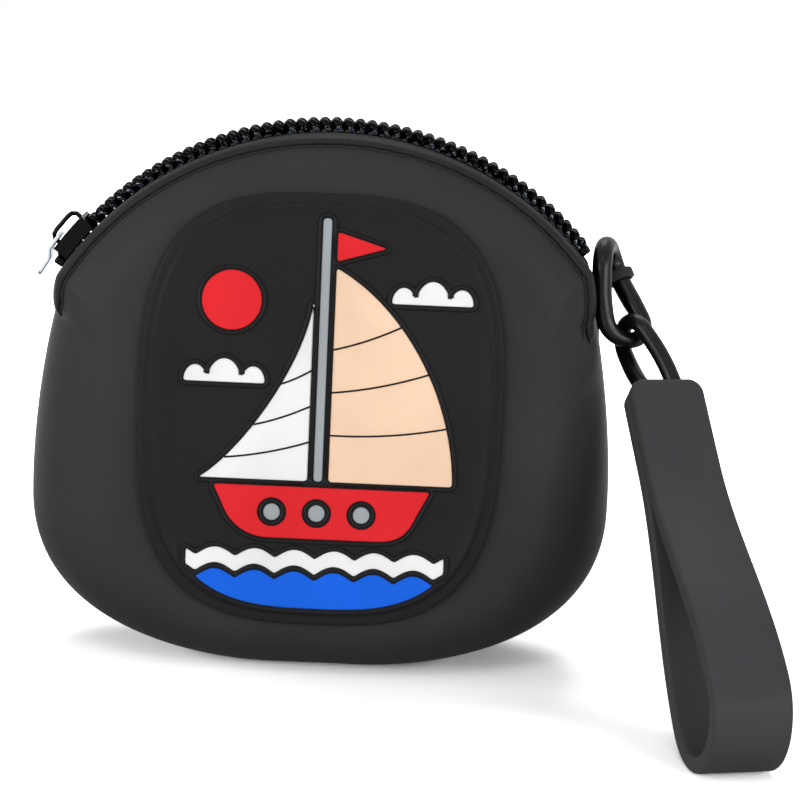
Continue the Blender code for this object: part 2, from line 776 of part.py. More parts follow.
def lug_frame():
    """Hole centre, hole axis and outward direction of the side lug."""
    path = body_link_path()
    i = round(LUG_SHARE * LINK_POINTS)
    centre = path[i]
    axis = (path[i + 1] - path[i - 1]).normalized()
    out = centre - zip_point(0.0, 0.0, centre.y)
    out = (out - axis * out.dot(axis)).normalized()
    return centre, axis, out


def make_lug():
    centre, axis, out = lug_frame()
    across = axis.cross(out)
    frame = Matrix((out, across, axis)).transposed().to_4x4()
    frame.translation = centre
    bore = WIRE_R + LUG_BORE_GAP
    round_r = bore + LUG_WALL
    outline = []
    for i in range(LUG_ROUND_POINTS + 1):
        turn = math.pi * (i / LUG_ROUND_POINTS - 0.5)
        outline.append((round_r * math.cos(turn), round_r * math.sin(turn)))
    outline += [(-LUG_ROOT, round_r), (-LUG_ROOT, -round_r)]
    hole = [(bore * math.cos(t), bore * math.sin(t))
            for t in (math.tau * i / LUG_HOLE_POINTS for i in range(LUG_HOLE_POINTS))]
    mesh = plate_mesh('side_lug', [outline, hole], LUG_PLATE, frame, -LUG_PLATE / 2)
    lug = finish('side_lug', mesh, SILICONE, 0.55)
    boolean(lug, body_plug('lug_seat', 3 * GAP + BAND_THICK))
    return lug


def strap_outlines():
    """The strap seen from its edge, in (length, thickness): its outside and the loop's opening."""
    centre = STRAP_LENGTH - STRAP_LOOP_R
    spread = STRAP_LOOP_R - STRAP_THICK
    outside = [(0.0, -STRAP_THICK), (0.0, STRAP_THICK)]
    inside = []
    for i in range(FLARE_POINTS):
        share = i / FLARE_POINTS
        ease = share * share * (3.0 - 2.0 * share)
        along = STRAP_BLOCK + (centre - STRAP_BLOCK) * share
        outside.append((along, STRAP_THICK + spread * ease))
        if ease > STRAP_PART_SHARE:
            inside.append((along, spread * ease))
    upper = [(along, -half) for along, half in outside[:1:-1]]
    back = [(along, -half) for along, half in inside[::-1]]
    for i in range(LOOP_POINTS + 1):
        turn = math.pi * (0.5 - i / LOOP_POINTS)
        outside.append((centre + STRAP_LOOP_R * math.cos(turn), STRAP_LOOP_R * math.sin(turn)))
        inside.append((centre + spread * math.cos(turn), spread * math.sin(turn)))
    return outside + upper, inside + back


def make_strap():
    _top, _axis, mouth, lean = strap_place()
    length, width, thick = strap_axes(lean)
    frame = Matrix((length, thick, -width)).transposed().to_4x4()
    frame.translation = mouth
    mesh = plate_mesh('wrist_strap', list(strap_outlines()), STRAP_WIDTH, frame, -STRAP_WIDTH / 2)
    strap = finish('wrist_strap', mesh, STRAP_SILICONE, 0.5)
    weight = mesh.attributes.new('bevel_weight_edge', 'FLOAT', 'EDGE')
    inverse = frame.inverted()
    for edge in mesh.edges:
        ends = [inverse @ mesh.vertices[i].co for i in edge.vertices]
        at_top = all(abs(end.x) < MERGE for end in ends)
        if at_top and abs(ends[0].z - ends[1].z) < MERGE:
            weight.data[edge.index].value = 1.0
    corners = strap.modifiers.new('corners', 'BEVEL')
    corners.limit_method = 'WEIGHT'
    corners.width = STRAP_CORNER
    corners.segments = CORNER_STEPS
    path = strap_link_path()
    room = tube_mesh('link_room', path, WIRE_R + GAP, 2, cyclic=True)
    boolean(strap, tool_object('link_room', room))
    return strap


def patch_frame():
    """The patch's middle on the flat front: x is across, y is up the front and z points out."""
    up = Vector((0.0, math.sin(FRONT_TILT), math.cos(FRONT_TILT)))
    out = Vector((0.0, -math.cos(FRONT_TILT), math.sin(FRONT_TILT)))
    frame = Matrix((Vector((1.0, 0.0, 0.0)), up, out)).transposed().to_4x4()
    frame.translation = Vector((0.0, -BASE_HALF_DEPTH, 0.0)) + up * PATCH_MIDDLE
    return frame


def patch_outline(inset):
    """The patch's outline drawn in by an inset: a superellipse about its middle."""
    wide = PATCH_HALF_WIDTH - inset
    tall = PATCH_HALF_HEIGHT - inset
    outline = []
    for i in range(PATCH_POINTS):
        turn = math.tau * i / PATCH_POINTS
        across = math.copysign(abs(math.sin(turn)) ** PATCH_SQUARENESS, math.sin(turn))
        rise = math.copysign(abs(math.cos(turn)) ** PATCH_SQUARENESS, math.cos(turn))
        outline.append(Vector((wide * across, tall * rise)))
    return outline


def grown(outline, amount):
    """A closed outline moved outwards by an amount, with mitred corners."""
    area = sum(a.x * b.y - b.x * a.y for a, b in zip(outline, outline[1:] + outline[:1]))
    way = 1.0 if area > 0 else -1.0
    moved = []
    for i, point in enumerate(outline):
        before = (point - outline[i - 1]).normalized()
        after = (outline[(i + 1) % len(outline)] - point).normalized()
        first = Vector((before.y, -before.x)) * way
        second = Vector((after.y, -after.x)) * way
        middle = first + second
        moved.append(point + middle * (amount / max(0.5, middle.dot(first))))
    return moved


def make_patch():
    frame = patch_frame()
    low = GAP
    step = PATCH_THICK - PATCH_RIM_STEP
    rings = []
    for outline, height in ((patch_outline(0.0), low), (patch_outline(0.0), low + step),
                            (patch_outline(PATCH_RIM), low + step),
                            (patch_outline(PATCH_RIM), low + PATCH_THICK)):
        rings.append([frame @ Vector((p.x, p.y, height)) for p in outline])
    patch = finish('patch_base', loft('patch_base', rings), BLACK, 0.6)
    floor = low + PATCH_THICK - POCKET_DEPTH
    for name, outlines, colour in inlays():
        seat = [grown(outlines[0], GAP)] + [grown(hole, -GAP) for hole in outlines[1:]]
        cut = plate_mesh(name + '_pocket', seat, POCKET_DEPTH + OVERRUN, frame, floor)
        boolean(patch, tool_object(name + '_pocket', cut))
        mesh = plate_mesh(name, outlines, INLAY_THICK, frame, floor + GAP)
        finish(name, mesh, colour, 0.5)
    return patch


def disc(x, y, radius, count=DISC_POINTS):
    return [Vector((x + radius * math.cos(t), y + radius * math.sin(t)))
            for t in (math.tau * i / count for i in range(count))]


def curve_line(points, count=CURVE_POINTS):
    """A smooth line through a cubic's four control points."""
    a, b, c, d = points
    return [Vector(bezier(a, b, c, d, i / count)) for i in range(count + 1)]


def puffs(x, y, sizes):
    """A cloud outline: a flat foot under a row of round tops."""
    total = sum(sizes)
    left = x - total
    outline = [Vector((left, y))]
    spot = left
    for size in sizes:
        for i in range(1, PUFF_POINTS):
            turn = math.pi * (1.0 - i / PUFF_POINTS)
            along = spot + size * (1.0 + math.cos(turn))
            outline.append(Vector((along, y + size * CLOUD_RISE_SHARE * math.sin(turn))))
        spot += 2 * size
    outline.append(Vector((spot, y)))
    return outline


def waves(half, y):
    """A row of wave crests from -half to half above a height y."""
    line = []
    for i in range(WAVE_POINTS + 1):
        x = half * (2.0 * i / WAVE_POINTS - 1.0)
        line.append(Vector((x, y + WAVE_RISE * abs(math.sin(math.pi * x / WAVE_LENGTH)))))
    return line


def sea_outline():
    """The sea fills the bottom of the patch up to its crests."""
    shore = patch_outline(PATCH_RIM + LINE_WIDTH)
    below = [p for p in shore if p.y < SEA_LEVEL]
    right = sorted((p for p in below if p.x >= 0), key=lambda p: -p.y)
    left = sorted((p for p in below if p.x < 0), key=lambda p: p.y)
    return waves(right[0].x, SEA_LEVEL) + right + left


def foam_outline():
    low = SEA_LEVEL + LINE_WIDTH
    return waves(FOAM_HALF, low) + waves(FOAM_HALF, low + FOAM_WIDTH)[::-1]


def inlays():
    """Name, outlines and colour of every coloured inlay. The first outline is the outer one."""
    rows = []
    hull = [Vector((-HULL_HALF, DECK)), Vector((HULL_HALF * HULL_LIP_SHARE, DECK))]
    for shares in (HULL_BOW_SHARES, HULL_STERN_SHARES):
        hull += curve_line([(HULL_HALF * along, DECK - HULL_DEPTH * down) for along, down in shares])
    ports = [(PORT_STEP * i, DECK - HULL_DEPTH / 2) for i in (-1, 0, 1)]
    rows.append(('hull_inlay', [hull] + [disc(x, y, PORT_R + LINE_WIDTH) for x, y in ports], RED))
    for i, (x, y) in enumerate(ports):
        rows.append(('porthole_inlay_%d' % (i + 1), [disc(x, y, PORT_R, PORT_POINTS)], GREY))
    foot = DECK + LINE_WIDTH
    mast = [Vector((-MAST_HALF, foot)), Vector((MAST_HALF, foot)),
            Vector((MAST_HALF, MAST_TOP)), Vector((-MAST_HALF, MAST_TOP))]
    rows.append(('mast_inlay', [mast], GREY))
    clear = MAST_HALF + LINE_WIDTH
    belly = [(SAIL_REACH * along, foot + SAIL_RISE * up) for along, up in SAIL_BELLY_SHARES]
    leech = curve_line([(SAIL_REACH, foot)] + belly + [(clear, foot + SAIL_RISE)], SAIL_POINTS)
    rows.append(('mainsail_inlay', [[Vector((clear, foot))] + leech], PEACH))
    belly = [(-JIB_REACH * along, foot + JIB_RISE * up) for along, up in JIB_BELLY_SHARES]
    luff = curve_line([(-clear, foot + JIB_RISE)] + belly + [(-JIB_REACH, foot)], SAIL_POINTS)
    rows.append(('jib_inlay', [[Vector((-clear, foot))] + luff], WHITE))
    flag_low = MAST_TOP - FLAG_DROP - FLAG_RISE
    flag = [Vector((clear, flag_low)), Vector((clear + FLAG_LENGTH, flag_low + FLAG_RISE / 2)),
            Vector((clear, flag_low + FLAG_RISE))]
    rows.append(('pennant_inlay', [flag], RED))
    rows.append(('sun_inlay', [disc(SUN_X, SUN_Y, SUN_R, SUN_POINTS)], RED))
    sizes = (CLOUD_PUFF, CLOUD_CROWN, CLOUD_PUFF)
    rows.append(('cloud_inlay_1', [puffs(CLOUD_X, CLOUD_Y, sizes)], WHITE))
    rows.append(('cloud_inlay_2', [puffs(-CLOUD_LOW_X, CLOUD_LOW_Y, sizes)], WHITE))
    rows.append(('foam_inlay', [foam_outline()], WHITE))
    rows.append(('sea_inlay', [sea_outline()], BLUE))
    return rows


def hang(name, place, pieces):
    """An empty on a joint's axis, which carries the pieces that move about it."""
    pivot = bpy.data.objects.new(name, None)
    pivot.location = place
    PARTS.objects.link(pivot)
    for piece in pieces:
        piece.parent = pivot
        piece.matrix_parent_inverse = Matrix.Translation(-place)
    return pivot


def main():
    make_body()
    for name, side in (('front', 1.0), ('back', -1.0)):
        make_band(name + '_zip_band', side)
        make_thread(name + '_seam_thread', side)
        make_tape(name + '_tape', -side)
        make_coil(name + '_coil', -side, 0 if side > 0 else 1)
    make_stops()
    slider = make_slider()
    pull = make_pull()
    body_link, strap_link = make_links()
    make_lug()
    strap = make_strap()
    make_patch()
    pull_pivot_empty = hang('pull_pivot', pull_pivot(), [pull])
    hang('zip_centre', zip_point(0.0, 0.0, 0.0), [slider, pull_pivot_empty])
    strap_pivot = hang('strap_pivot', body_link_path()[0], [strap_link, strap])
    hang('link_pivot', lug_frame()[0], [body_link, strap_pivot])


clear_scene()
PARTS = collection(COLLECTION)
TOOLS = collection(CUTTERS)
main()
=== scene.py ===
"""Looks of a silicone zip pouch with a rubber patch and a wrist strap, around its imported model."""
import math

import bmesh
import bpy
from mathutils import Matrix, Vector


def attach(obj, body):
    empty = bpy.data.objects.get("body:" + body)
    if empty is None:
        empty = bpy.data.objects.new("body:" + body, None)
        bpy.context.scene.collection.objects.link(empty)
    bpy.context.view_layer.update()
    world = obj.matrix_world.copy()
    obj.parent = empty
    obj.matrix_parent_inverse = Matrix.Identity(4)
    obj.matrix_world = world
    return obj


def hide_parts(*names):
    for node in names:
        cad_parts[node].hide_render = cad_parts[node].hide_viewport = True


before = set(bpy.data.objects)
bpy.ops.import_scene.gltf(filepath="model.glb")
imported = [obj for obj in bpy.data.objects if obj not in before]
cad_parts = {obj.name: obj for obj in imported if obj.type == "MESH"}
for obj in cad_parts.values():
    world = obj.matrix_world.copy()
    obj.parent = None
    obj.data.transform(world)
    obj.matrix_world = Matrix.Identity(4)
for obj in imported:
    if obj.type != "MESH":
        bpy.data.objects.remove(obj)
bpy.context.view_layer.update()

# Camera. The photograph was taken with a long lens, from a little above the pouch's middle and
# straight at its front, and the picture leans over by a few degrees.
MM = 0.001
AIM = Vector((15.8, 0.0, 55.2)) * MM
CAMERA_AWAY = 500.0 * MM
CAMERA_DROP = math.radians(12.0)
CAMERA_ROLL = math.radians(-2.5)
LENS_MM = 108.2


def placed(name, data):
    """A new object in the scene with this data."""
    made = bpy.data.objects.new(name, data)
    bpy.context.scene.collection.objects.link(made)
    return made


look = Vector((0.0, math.cos(CAMERA_DROP), -math.sin(CAMERA_DROP)))
across = Matrix.Rotation(CAMERA_ROLL, 3, look) @ Vector((1.0, 0.0, 0.0))
camera_turn = Matrix((across, across.cross(look), -look)).transposed().to_4x4()
camera_data = bpy.data.cameras.new("camera")
camera_data.sensor_width = 36.0
camera_data.lens = LENS_MM
camera_data.clip_start = 20.0 * MM
camera = placed("camera", camera_data)
camera.matrix_world = Matrix.Translation(AIM - look * CAMERA_AWAY) @ camera_turn
bpy.context.scene.camera = camera
bpy.context.scene.view_settings.view_transform = "Standard"


# Table and light. A white card lies under the pouch in a white room, and glows to white away from
# it. Tall tubes and soft boxes at both sides draw the pale upright sheens on the pouch's sides and
# on the links. A box above and behind it keeps a soft shadow on the card in front of its foot.
def linear(code):
    """An sRGB hex colour as linear RGBA."""
    parts = [int(code[i:i + 2], 16) / 255 for i in (0, 2, 4)]
    return [c / 12.92 if c <= 0.04045 else ((c + 0.055) / 1.055) ** 2.4 for c in parts] + [1.0]


def add(tree, kind, feeds=(), **settings):
    """Add a node, set its fields, and feed its inputs a value, a socket or a node's first output."""
    made = tree.nodes.new(kind)
    for key, value in settings.items():
        setattr(made, key, value)
    for key, value in feeds.items() if isinstance(feeds, dict) else enumerate(feeds):
        if isinstance(value, bpy.types.Node):
            value = value.outputs[0]
        if isinstance(value, bpy.types.NodeSocket):
            tree.links.new(value, made.inputs[key])
        else:
            made.inputs[key].default_value = value
    return made


def empty_tree(owner):
    owner.use_nodes = True
    owner.node_tree.nodes.clear()
    return owner.node_tree


def seen_share(tree):
    """1 for rays that show the backdrop to the eye, directly or in gloss or glass."""
    rays = add(tree, "ShaderNodeLightPath")
    gloss = add(tree, "ShaderNodeMath", (rays.outputs["Is Camera Ray"], rays.outputs["Is Glossy Ray"]),
                operation="MAXIMUM")
    return add(tree, "ShaderNodeMath", (gloss, rays.outputs["Is Transmission Ray"]), operation="MAXIMUM")


ROOM_LIGHT = 0.15
CARD_GAIN = 3.6
GLOW_FROM = 90.0 * MM
GLOW_TO = 300.0 * MM
TABLE_HALF = 1.6
room = bpy.data.worlds.new("white_room")
bpy.context.scene.world = room
room_tree = empty_tree(room)
lit = add(room_tree, "ShaderNodeBackground", {"Color": linear("F4F7FA"), "Strength": ROOM_LIGHT})
shown = add(room_tree, "ShaderNodeBackground", {"Color": linear("FFFFFF"), "Strength": 1.0})
room_mix = add(room_tree, "ShaderNodeMixShader", (seen_share(room_tree), lit, shown))
add(room_tree, "ShaderNodeOutputWorld", {"Surface": room_mix})

card = bpy.data.materials.new("white_card")
card_tree = empty_tree(card)
card_rays = add(card_tree, "ShaderNodeLightPath")
card_white = add(card_tree, "ShaderNodeMapRange",
                 {"Value": card_rays.outputs["Is Camera Ray"], "To Min": 1.0, "To Max": CARD_GAIN})
card_colour = add(card_tree, "ShaderNodeVectorMath", {0: linear("D2D2D2")[:3], "Scale": card_white},
                  operation="SCALE")
card_paint = add(card_tree, "ShaderNodeBsdfDiffuse", {"Color": card_colour})
card_place = add(card_tree, "ShaderNodeTexCoord").outputs["Object"]
card_away = add(card_tree, "ShaderNodeVectorMath", (card_place,), operation="LENGTH")
card_level = add(card_tree, "ShaderNodeMapRange",
                 {"Value": card_away.outputs["Value"], "From Min": GLOW_FROM, "From Max": GLOW_TO},
                 interpolation_type="SMOOTHSTEP")
glow = add(card_tree, "ShaderNodeMath", (seen_share(card_tree), card_level), operation="MULTIPLY")
card_glow = add(card_tree, "ShaderNodeEmission", {"Color": linear("FFFFFF"), "Strength": glow})
card_sum = add(card_tree, "ShaderNodeAddShader", (card_paint, card_glow))
add(card_tree, "ShaderNodeOutputMaterial", {"Surface": card_sum})
table_mesh = bpy.data.meshes.new("table")
corners = ((-1, -1), (1, -1), (1, 1), (-1, 1))
table_mesh.from_pydata([(x * TABLE_HALF, y * TABLE_HALF, 0.0) for x, y in corners], [], [(0, 1, 2, 3)])
table_mesh.materials.append(card)
table = placed("table", table_mesh)

SOFT_BOXES = (("left_tube", (-0.82, -0.36, 0.30), 0.04, 0.60, 3.0),
              ("right_tube", (0.82, -0.46, 0.30), 0.04, 0.60, 2.2),
              ("left_box", (-0.62, -0.86, 0.30), 0.30, 0.50, 3.2),
              ("right_box", (0.66, -0.84, 0.30), 0.30, 0.50, 3.8),
              ("front_box", (-0.05, -0.80, 0.95), 0.50, 0.40, 1.1),
              ("top_box", (0.05, 0.45, 1.05), 0.60, 0.50, 3.8))
for name, place, wide, tall, power in SOFT_BOXES:
    lamp = bpy.data.lights.new(name, "AREA")
    lamp.shape = "RECTANGLE"
    lamp.size = wide
    lamp.size_y = tall
    lamp.energy = power
    box = placed(name, lamp)
    box.location = place
    box.rotation_euler = (AIM - Vector(place)).to_track_quat("-Z", "Z").to_euler()


# Body. One hollow pouch moulded in matte dark grey silicone, with a flat front and back, sides
# rolled over in wide curves, a flat base, and a slot along the top for the zip.
ZIP_MIDDLE = Vector((1.2, 0.0, 44.2)) * MM
WALL = 2.2 * MM
WELD = 0.002 * MM
BODY_WELD = 0.01 * MM
RIM_R = 65.3 * MM
MOUTH_HALF = 6.6 * MM
MOUTH_LEFT = math.radians(57.5)
MOUTH_RIGHT = math.radians(52.0)
SHOULDER_LEAD = 1.0 * MM
SHOULDER_PULL = (60.4 * MM, 58.0 * MM)
WAIST = (60.1 * MM, 33.5 * MM)
CORNER_LEAD = 29.0 * MM
CORNER_PULL_X = 24.0 * MM
BASE_HALF = 9.0 * MM
BASE_PRESS = 0.8 * MM
BASE_HALF_DEPTH = 23.5 * MM
HEAD_HALF_DEPTH = 12.0 * MM
FRONT_TILT = math.atan((BASE_HALF_DEPTH - HEAD_HALF_DEPTH) / (ZIP_MIDDLE.z + RIM_R))
SIDE_ROLL = 22.0 * MM
TOP_ROLL = 7.0 * MM
BASE_ROLL = 15.0 * MM
ARC_SPAN = 12
SHOULDER_SPAN = 6
CORNER_SPAN = 9
BASE_SPAN = 2
HALF_SPAN = ARC_SPAN + SHOULDER_SPAN + CORNER_SPAN + BASE_SPAN
MOUTH_ROUND_SPAN = 2
FINE = 6
ROLL_STEPS = 22
NORMAL_STEP = 0.01
FLAT_INSET_SHARE = 0.1
GRAIN_MM = 0.35
GRAIN_LIFT = 0.03 * MM
GRAIN_STRENGTH = 0.6
NOISE_SPAN = {"From Min": 0.3, "From Max": 0.7}
CLOUD_MM = 28.0


def zip_point(angle, radius, y=0.0):
    return ZIP_MIDDLE + Vector((radius * math.sin(angle), y, radius * math.cos(angle)))


def bezier(points, t):
    a, b, c, d = points
    s = 1.0 - t
    return [s ** 3 * p + 3 * s * s * t * q + 3 * s * t * t * r + t ** 3 * w
            for p, q, r, w in zip(a, b, c, d)]


def edge_point(station):
    """The pouch's outline seen from the front, from the top (0) round to the base's middle."""
    side, mouth = (-1.0, MOUTH_LEFT) if station < 0 else (1.0, MOUTH_RIGHT)
    k = abs(station)
    if k <= ARC_SPAN:
        rim = zip_point(side * mouth * k / ARC_SPAN, RIM_R)
        return rim.x, rim.z
    k -= ARC_SPAN
    if k <= SHOULDER_SPAN:
        start = zip_point(side * mouth, RIM_R)
        start = (side * start.x, start.z)
        lead = (start[0] + SHOULDER_LEAD * math.cos(mouth), start[1] - SHOULDER_LEAD * math.sin(mouth))
        x, z = bezier((start, lead, SHOULDER_PULL, WAIST), k / SHOULDER_SPAN)
        return side * x, z
    k -= SHOULDER_SPAN
    if k <= CORNER_SPAN:
        x, z = bezier((WAIST, (WAIST[0], WAIST[1] - CORNER_LEAD), (CORNER_PULL_X, -BASE_PRESS),
                       (BASE_HALF, -BASE_PRESS)), k / CORNER_SPAN)
        return side * x, z
    k -= CORNER_SPAN
    return side * BASE_HALF * (1.0 - k / BASE_SPAN), -BASE_PRESS


def half_depth(z):
    return BASE_HALF_DEPTH - z * math.tan(FRONT_TILT)


def mouth_half(station):
    past = max(0.0, (abs(station) - ARC_SPAN) / MOUTH_ROUND_SPAN)
    return MOUTH_HALF * math.sqrt(max(0.0, 1.0 - past * past))


def roll_width(station):
    x, z = edge_point(station)
    aside = x - ZIP_MIDDLE.x
    rise = z - ZIP_MIDDLE.z
    sideways = (aside * aside / (aside * aside + rise * rise)) ** 2
    plain = TOP_ROLL if rise > 0 else BASE_ROLL
    return plain + (SIDE_ROLL - plain) * sideways


def skin(station, roll):
    """A point of the front skin. roll is 0 at the side edge and a right angle on the flat."""
    x, z = edge_point(station)
    inward = Vector((ZIP_MIDDLE.x - x, 0.0, ZIP_MIDDLE.z - z)).normalized()
    point = Vector((x, 0.0, z)) + inward * (roll_width(station) * (1.0 - math.cos(roll)))
    opening = mouth_half(station)
    depth = opening + (half_depth(point.z) - opening) * math.sin(roll)
    return Vector((point.x, -depth, max(point.z, 0.0)))


def skin_normal(station, roll):
    along = skin(station + NORMAL_STEP, roll) - skin(station - NORMAL_STEP, roll)
    aside = skin(station, roll + NORMAL_STEP) - skin(station, roll - NORMAL_STEP)
    facing = along.cross(aside).normalized()
    return facing if facing.dot(skin(station, roll) - ZIP_MIDDLE) > 0 else -facing


def object_of(name, shape):
    """A smooth-shaded object at the origin from a bmesh, which is freed."""
    mesh = bpy.data.meshes.new(name)
    shape.to_mesh(mesh)
    shape.free()
    mesh.shade_smooth()
    return placed(name, mesh)


def skinned(name, rings, weld=None):
    """A closed body from rings of places, capped at both ends."""
    shape = bmesh.new()
    rows = [[shape.verts.new(p) for p in ring] for ring in rings]
    for one, two in zip(rows, rows[1:]):
        for i in range(len(one)):
            j = (i + 1) % len(one)
            shape.faces.new((one[i], one[j], two[j], two[i]))
    shape.faces.new(rows[0])
    shape.faces.new(rows[-1])
    if weld:
        bmesh.ops.remove_doubles(shape, verts=shape.verts, dist=weld)
    bmesh.ops.recalc_face_normals(shape, faces=shape.faces)
    return object_of(name, shape)


def baked(made):
    """Turn an object's modifiers into a plain mesh."""
    bpy.context.view_layer.update()
    graph = bpy.context.evaluated_depsgraph_get()
    mesh = bpy.data.meshes.new_from_object(made.evaluated_get(graph))
    made.modifiers.clear()
    made.data = mesh
    return made


def dressed(made, material, body, slot, *nodes):
    """Give a piece its material, the body it moves with, and the solids it stands for."""
    made.data.materials.clear()
    made.data.materials.append(material)
    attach(made, body)
    if nodes:
        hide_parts(*nodes)
    return made


def grained(name, code, grain_mm, detail, lift, finish, shades=None, roughs=None, cloud_mm=None,
            strength=1.0):
    """A material with fine noise in its bump, and in its shade and roughness where given."""
    material = bpy.data.materials.new(name)
    tree = empty_tree(material)
    place = add(tree, "ShaderNodeTexCoord").outputs["Object"]
    grain = add(tree, "ShaderNodeTexNoise",
                {"Vector": place, "Scale": 1.0 / (grain_mm * MM), "Detail": detail})
    cloud = grain
    if cloud_mm:
        cloud = add(tree, "ShaderNodeTexNoise",
                    {"Vector": place, "Scale": 1.0 / (cloud_mm * MM), "Detail": 3.0})
    looks = {"Base Color": linear(code)}
    if shades:
        shade = add(tree, "ShaderNodeMapRange",
                    {"Value": cloud, **NOISE_SPAN, "To Min": shades[0], "To Max": shades[1]})
        looks["Base Color"] = add(tree, "ShaderNodeVectorMath", {0: linear(code)[:3], "Scale": shade},
                                  operation="SCALE")
    if roughs:
        looks["Roughness"] = add(tree, "ShaderNodeMapRange",
                                 {"Value": grain, **NOISE_SPAN, "To Min": roughs[0], "To Max": roughs[1]})
    looks["Normal"] = add(tree, "ShaderNodeBump",
                          {"Height": grain, "Distance": lift, "Strength": strength})
    shader = add(tree, "ShaderNodeBsdfPrincipled", {**looks, **finish})
    add(tree, "ShaderNodeOutputMaterial", {"Surface": shader})
    return material


def moulded_rubber(name, code, roughness, gloss=0.05):
    """Silicone or soft PVC as it leaves a fine blasted mould: matte, with a faint grain and bloom."""
    return grained(name, code, GRAIN_MM, 2.0, GRAIN_LIFT, {"IOR": 1.41, "Specular IOR Level": gloss},
                   (0.90, 1.10), (roughness - 0.05, roughness + 0.05), CLOUD_MM, GRAIN_STRENGTH)


body_silicone = moulded_rubber("matte_silicone", "353535", 0.38)
shape = bmesh.new()
columns = []
for i in range(-HALF_SPAN * FINE, HALF_SPAN * FINE + 1):
    station = i / FINE
    column = []
    for step in range(ROLL_STEPS + 1):
        point = skin(station, math.pi / 2 * step / ROLL_STEPS)
        if abs(i) == HALF_SPAN * FINE:
            point.x = 0.0
        if step == 0 and not mouth_half(station):
            point.y = 0.0
        column.append(point)
    middle = Vector((0.0, -half_depth(ZIP_MIDDLE.z), ZIP_MIDDLE.z))
    column.append(column[-1].lerp(middle, FLAT_INSET_SHARE))
    columns.append(column)
for side in (1.0, -1.0):
    rows = [[shape.verts.new((p.x, p.y * side, p.z)) for p in column] for column in columns]
    faces = [(one[i], one[i + 1], two[i + 1], two[i])
             for one, two in zip(rows, rows[1:]) for i in range(len(one) - 1)]
    faces.append([row[-1] for row in rows[1:]][::-1])
    for face in faces:
        shape.faces.new(face if side > 0 else face[::-1])
bmesh.ops.remove_doubles(shape, verts=shape.verts, dist=BODY_WELD)
bmesh.ops.recalc_face_normals(shape, faces=shape.faces)
body = object_of("body", shape)
wall = body.modifiers.new("wall", "SOLIDIFY")
wall.thickness = WALL
wall.offset = -1.0
wall.use_even_offset = True
dressed(baked(body), body_silicone, "pouch", "body_silicone", "body_shell")


# Mouth bands. A raised welt of the same silicone runs along each side of the mouth and ends in
# a round lobe. It is softer at its edges. Its colour is a darker copy of the body's silicone:
# painted shade for its top, which faces up, away from the lamps.
BAND_LIFT = 1.1 * MM
BAND_TOP_WIDTH = 3.1 * MM
BAND_SIDE_WIDTH = 4.2 * MM
BAND_LEFT_REACH = 2.0
BAND_RIGHT_REACH = 2.6
BAND_LOBE = 1.2
BAND_TIP_SHARE = 0.004
BAND_FLATNESS = 5
BAND_ROUNDNESS = 0.45
BAND_FALL = 0.6
SKIN_SPLITS = 6
BAND_SEAT = 0.05 * MM
BAND_ROWS = 12
# Painted shade: the welt's silicone is painted darker than the body's, though it is the same silicone.
band_silicone = moulded_rubber("band_silicone", "2B2B2B", 0.40)


def skin_reach(station):
    """How far the skin comes forward from the mouth's edge to the flat front."""
    return half_depth(edge_point(station)[1]) - mouth_half(station)


def roll_after(station, roll, distance):
    """The roll angle that lies a distance further on along the skin."""
    for _ in range(SKIN_SPLITS):
        speed = math.hypot(roll_width(station) * math.sin(roll), skin_reach(station) * math.cos(roll))
        roll += distance / (SKIN_SPLITS * speed)
    return roll


def band_width(station):
    """A band's width along the skin, which grows from the pouch's top to its sides."""
    sideways = (roll_width(station) - TOP_ROLL) / (SIDE_ROLL - TOP_ROLL)
    return BAND_TOP_WIDTH + (BAND_SIDE_WIDTH - BAND_TOP_WIDTH) * sideways


def band_rolls(station):
    """The roll angles of a band's two edges."""
    past = (MOUTH_HALF - mouth_half(station)) / skin_reach(station)
    first = math.asin(min(1.0, max(0.0, past)))
    return first, roll_after(station, first, band_width(station))


def band_end(station):
    """The station where a band ends on the side that this station is on."""
    return ARC_SPAN + (BAND_LEFT_REACH if station < 0 else BAND_RIGHT_REACH)


def stations_between(start, end, fine=FINE):
    steps = round((end - start) * fine)
    return [start + (end - start) * i / steps for i in range(steps + 1)]


def band(name, side):
    rings = []
    for station in stations_between(-band_end(-1), band_end(1)):
        first, last = band_rolls(station)
        past = max(0.0, (abs(station) - band_end(station) + BAND_LOBE) / BAND_LOBE)
        spread = math.sqrt(max(BAND_TIP_SHARE, 1.0 - past * past))
        ring = []
        for row in list(range(BAND_ROWS + 1)) + list(range(BAND_ROWS, -1, -1)):
            share = 2.0 * row / BAND_ROWS - 1.0
            roll = (first + last) / 2 + (last - first) / 2 * spread * share
            lift = 0.0
            if len(ring) <= BAND_ROWS:
                crown = (1.0 - abs(share) ** BAND_FLATNESS) ** BAND_ROUNDNESS
                lift = BAND_LIFT * crown * spread ** BAND_FALL
            point = skin(station, roll) + skin_normal(station, roll) * (BAND_SEAT + lift)
            ring.append(Vector((point.x, point.y * side, point.z)))
        rings.append(ring)
    return skinned(name, rings, WELD)


for name, node, side in (("front_welt", "front_zip_band", 1.0), ("back_welt", "back_zip_band", -1.0)):
    dressed(band(name, side), band_silicone, "pouch", "band_silicone", node)


# Seams. A row of lockstitch in black polyester thread finishes each welt. It is pulled down into
# a fine groove along the welt's lower edge. A solid black tube of the thread runs along that groove
# under the stitches, so that it shows as a thin black line with a nap: partly the thread itself,
# partly painted shade of the groove.
SEAM_GROOVE_SHADE_R = 0.26 * MM
SEAM_LIFT = 0.10 * MM
SEAM_OFF = 0.30 * MM
SEAM_SHORT = 0.4
STITCH_PITCH = 3.4 * MM
STITCH_LENGTH = 3.2 * MM
STITCH_R = 0.16 * MM
THREAD_PLY_MM = 0.3
THREAD_NAP = 0.05 * MM


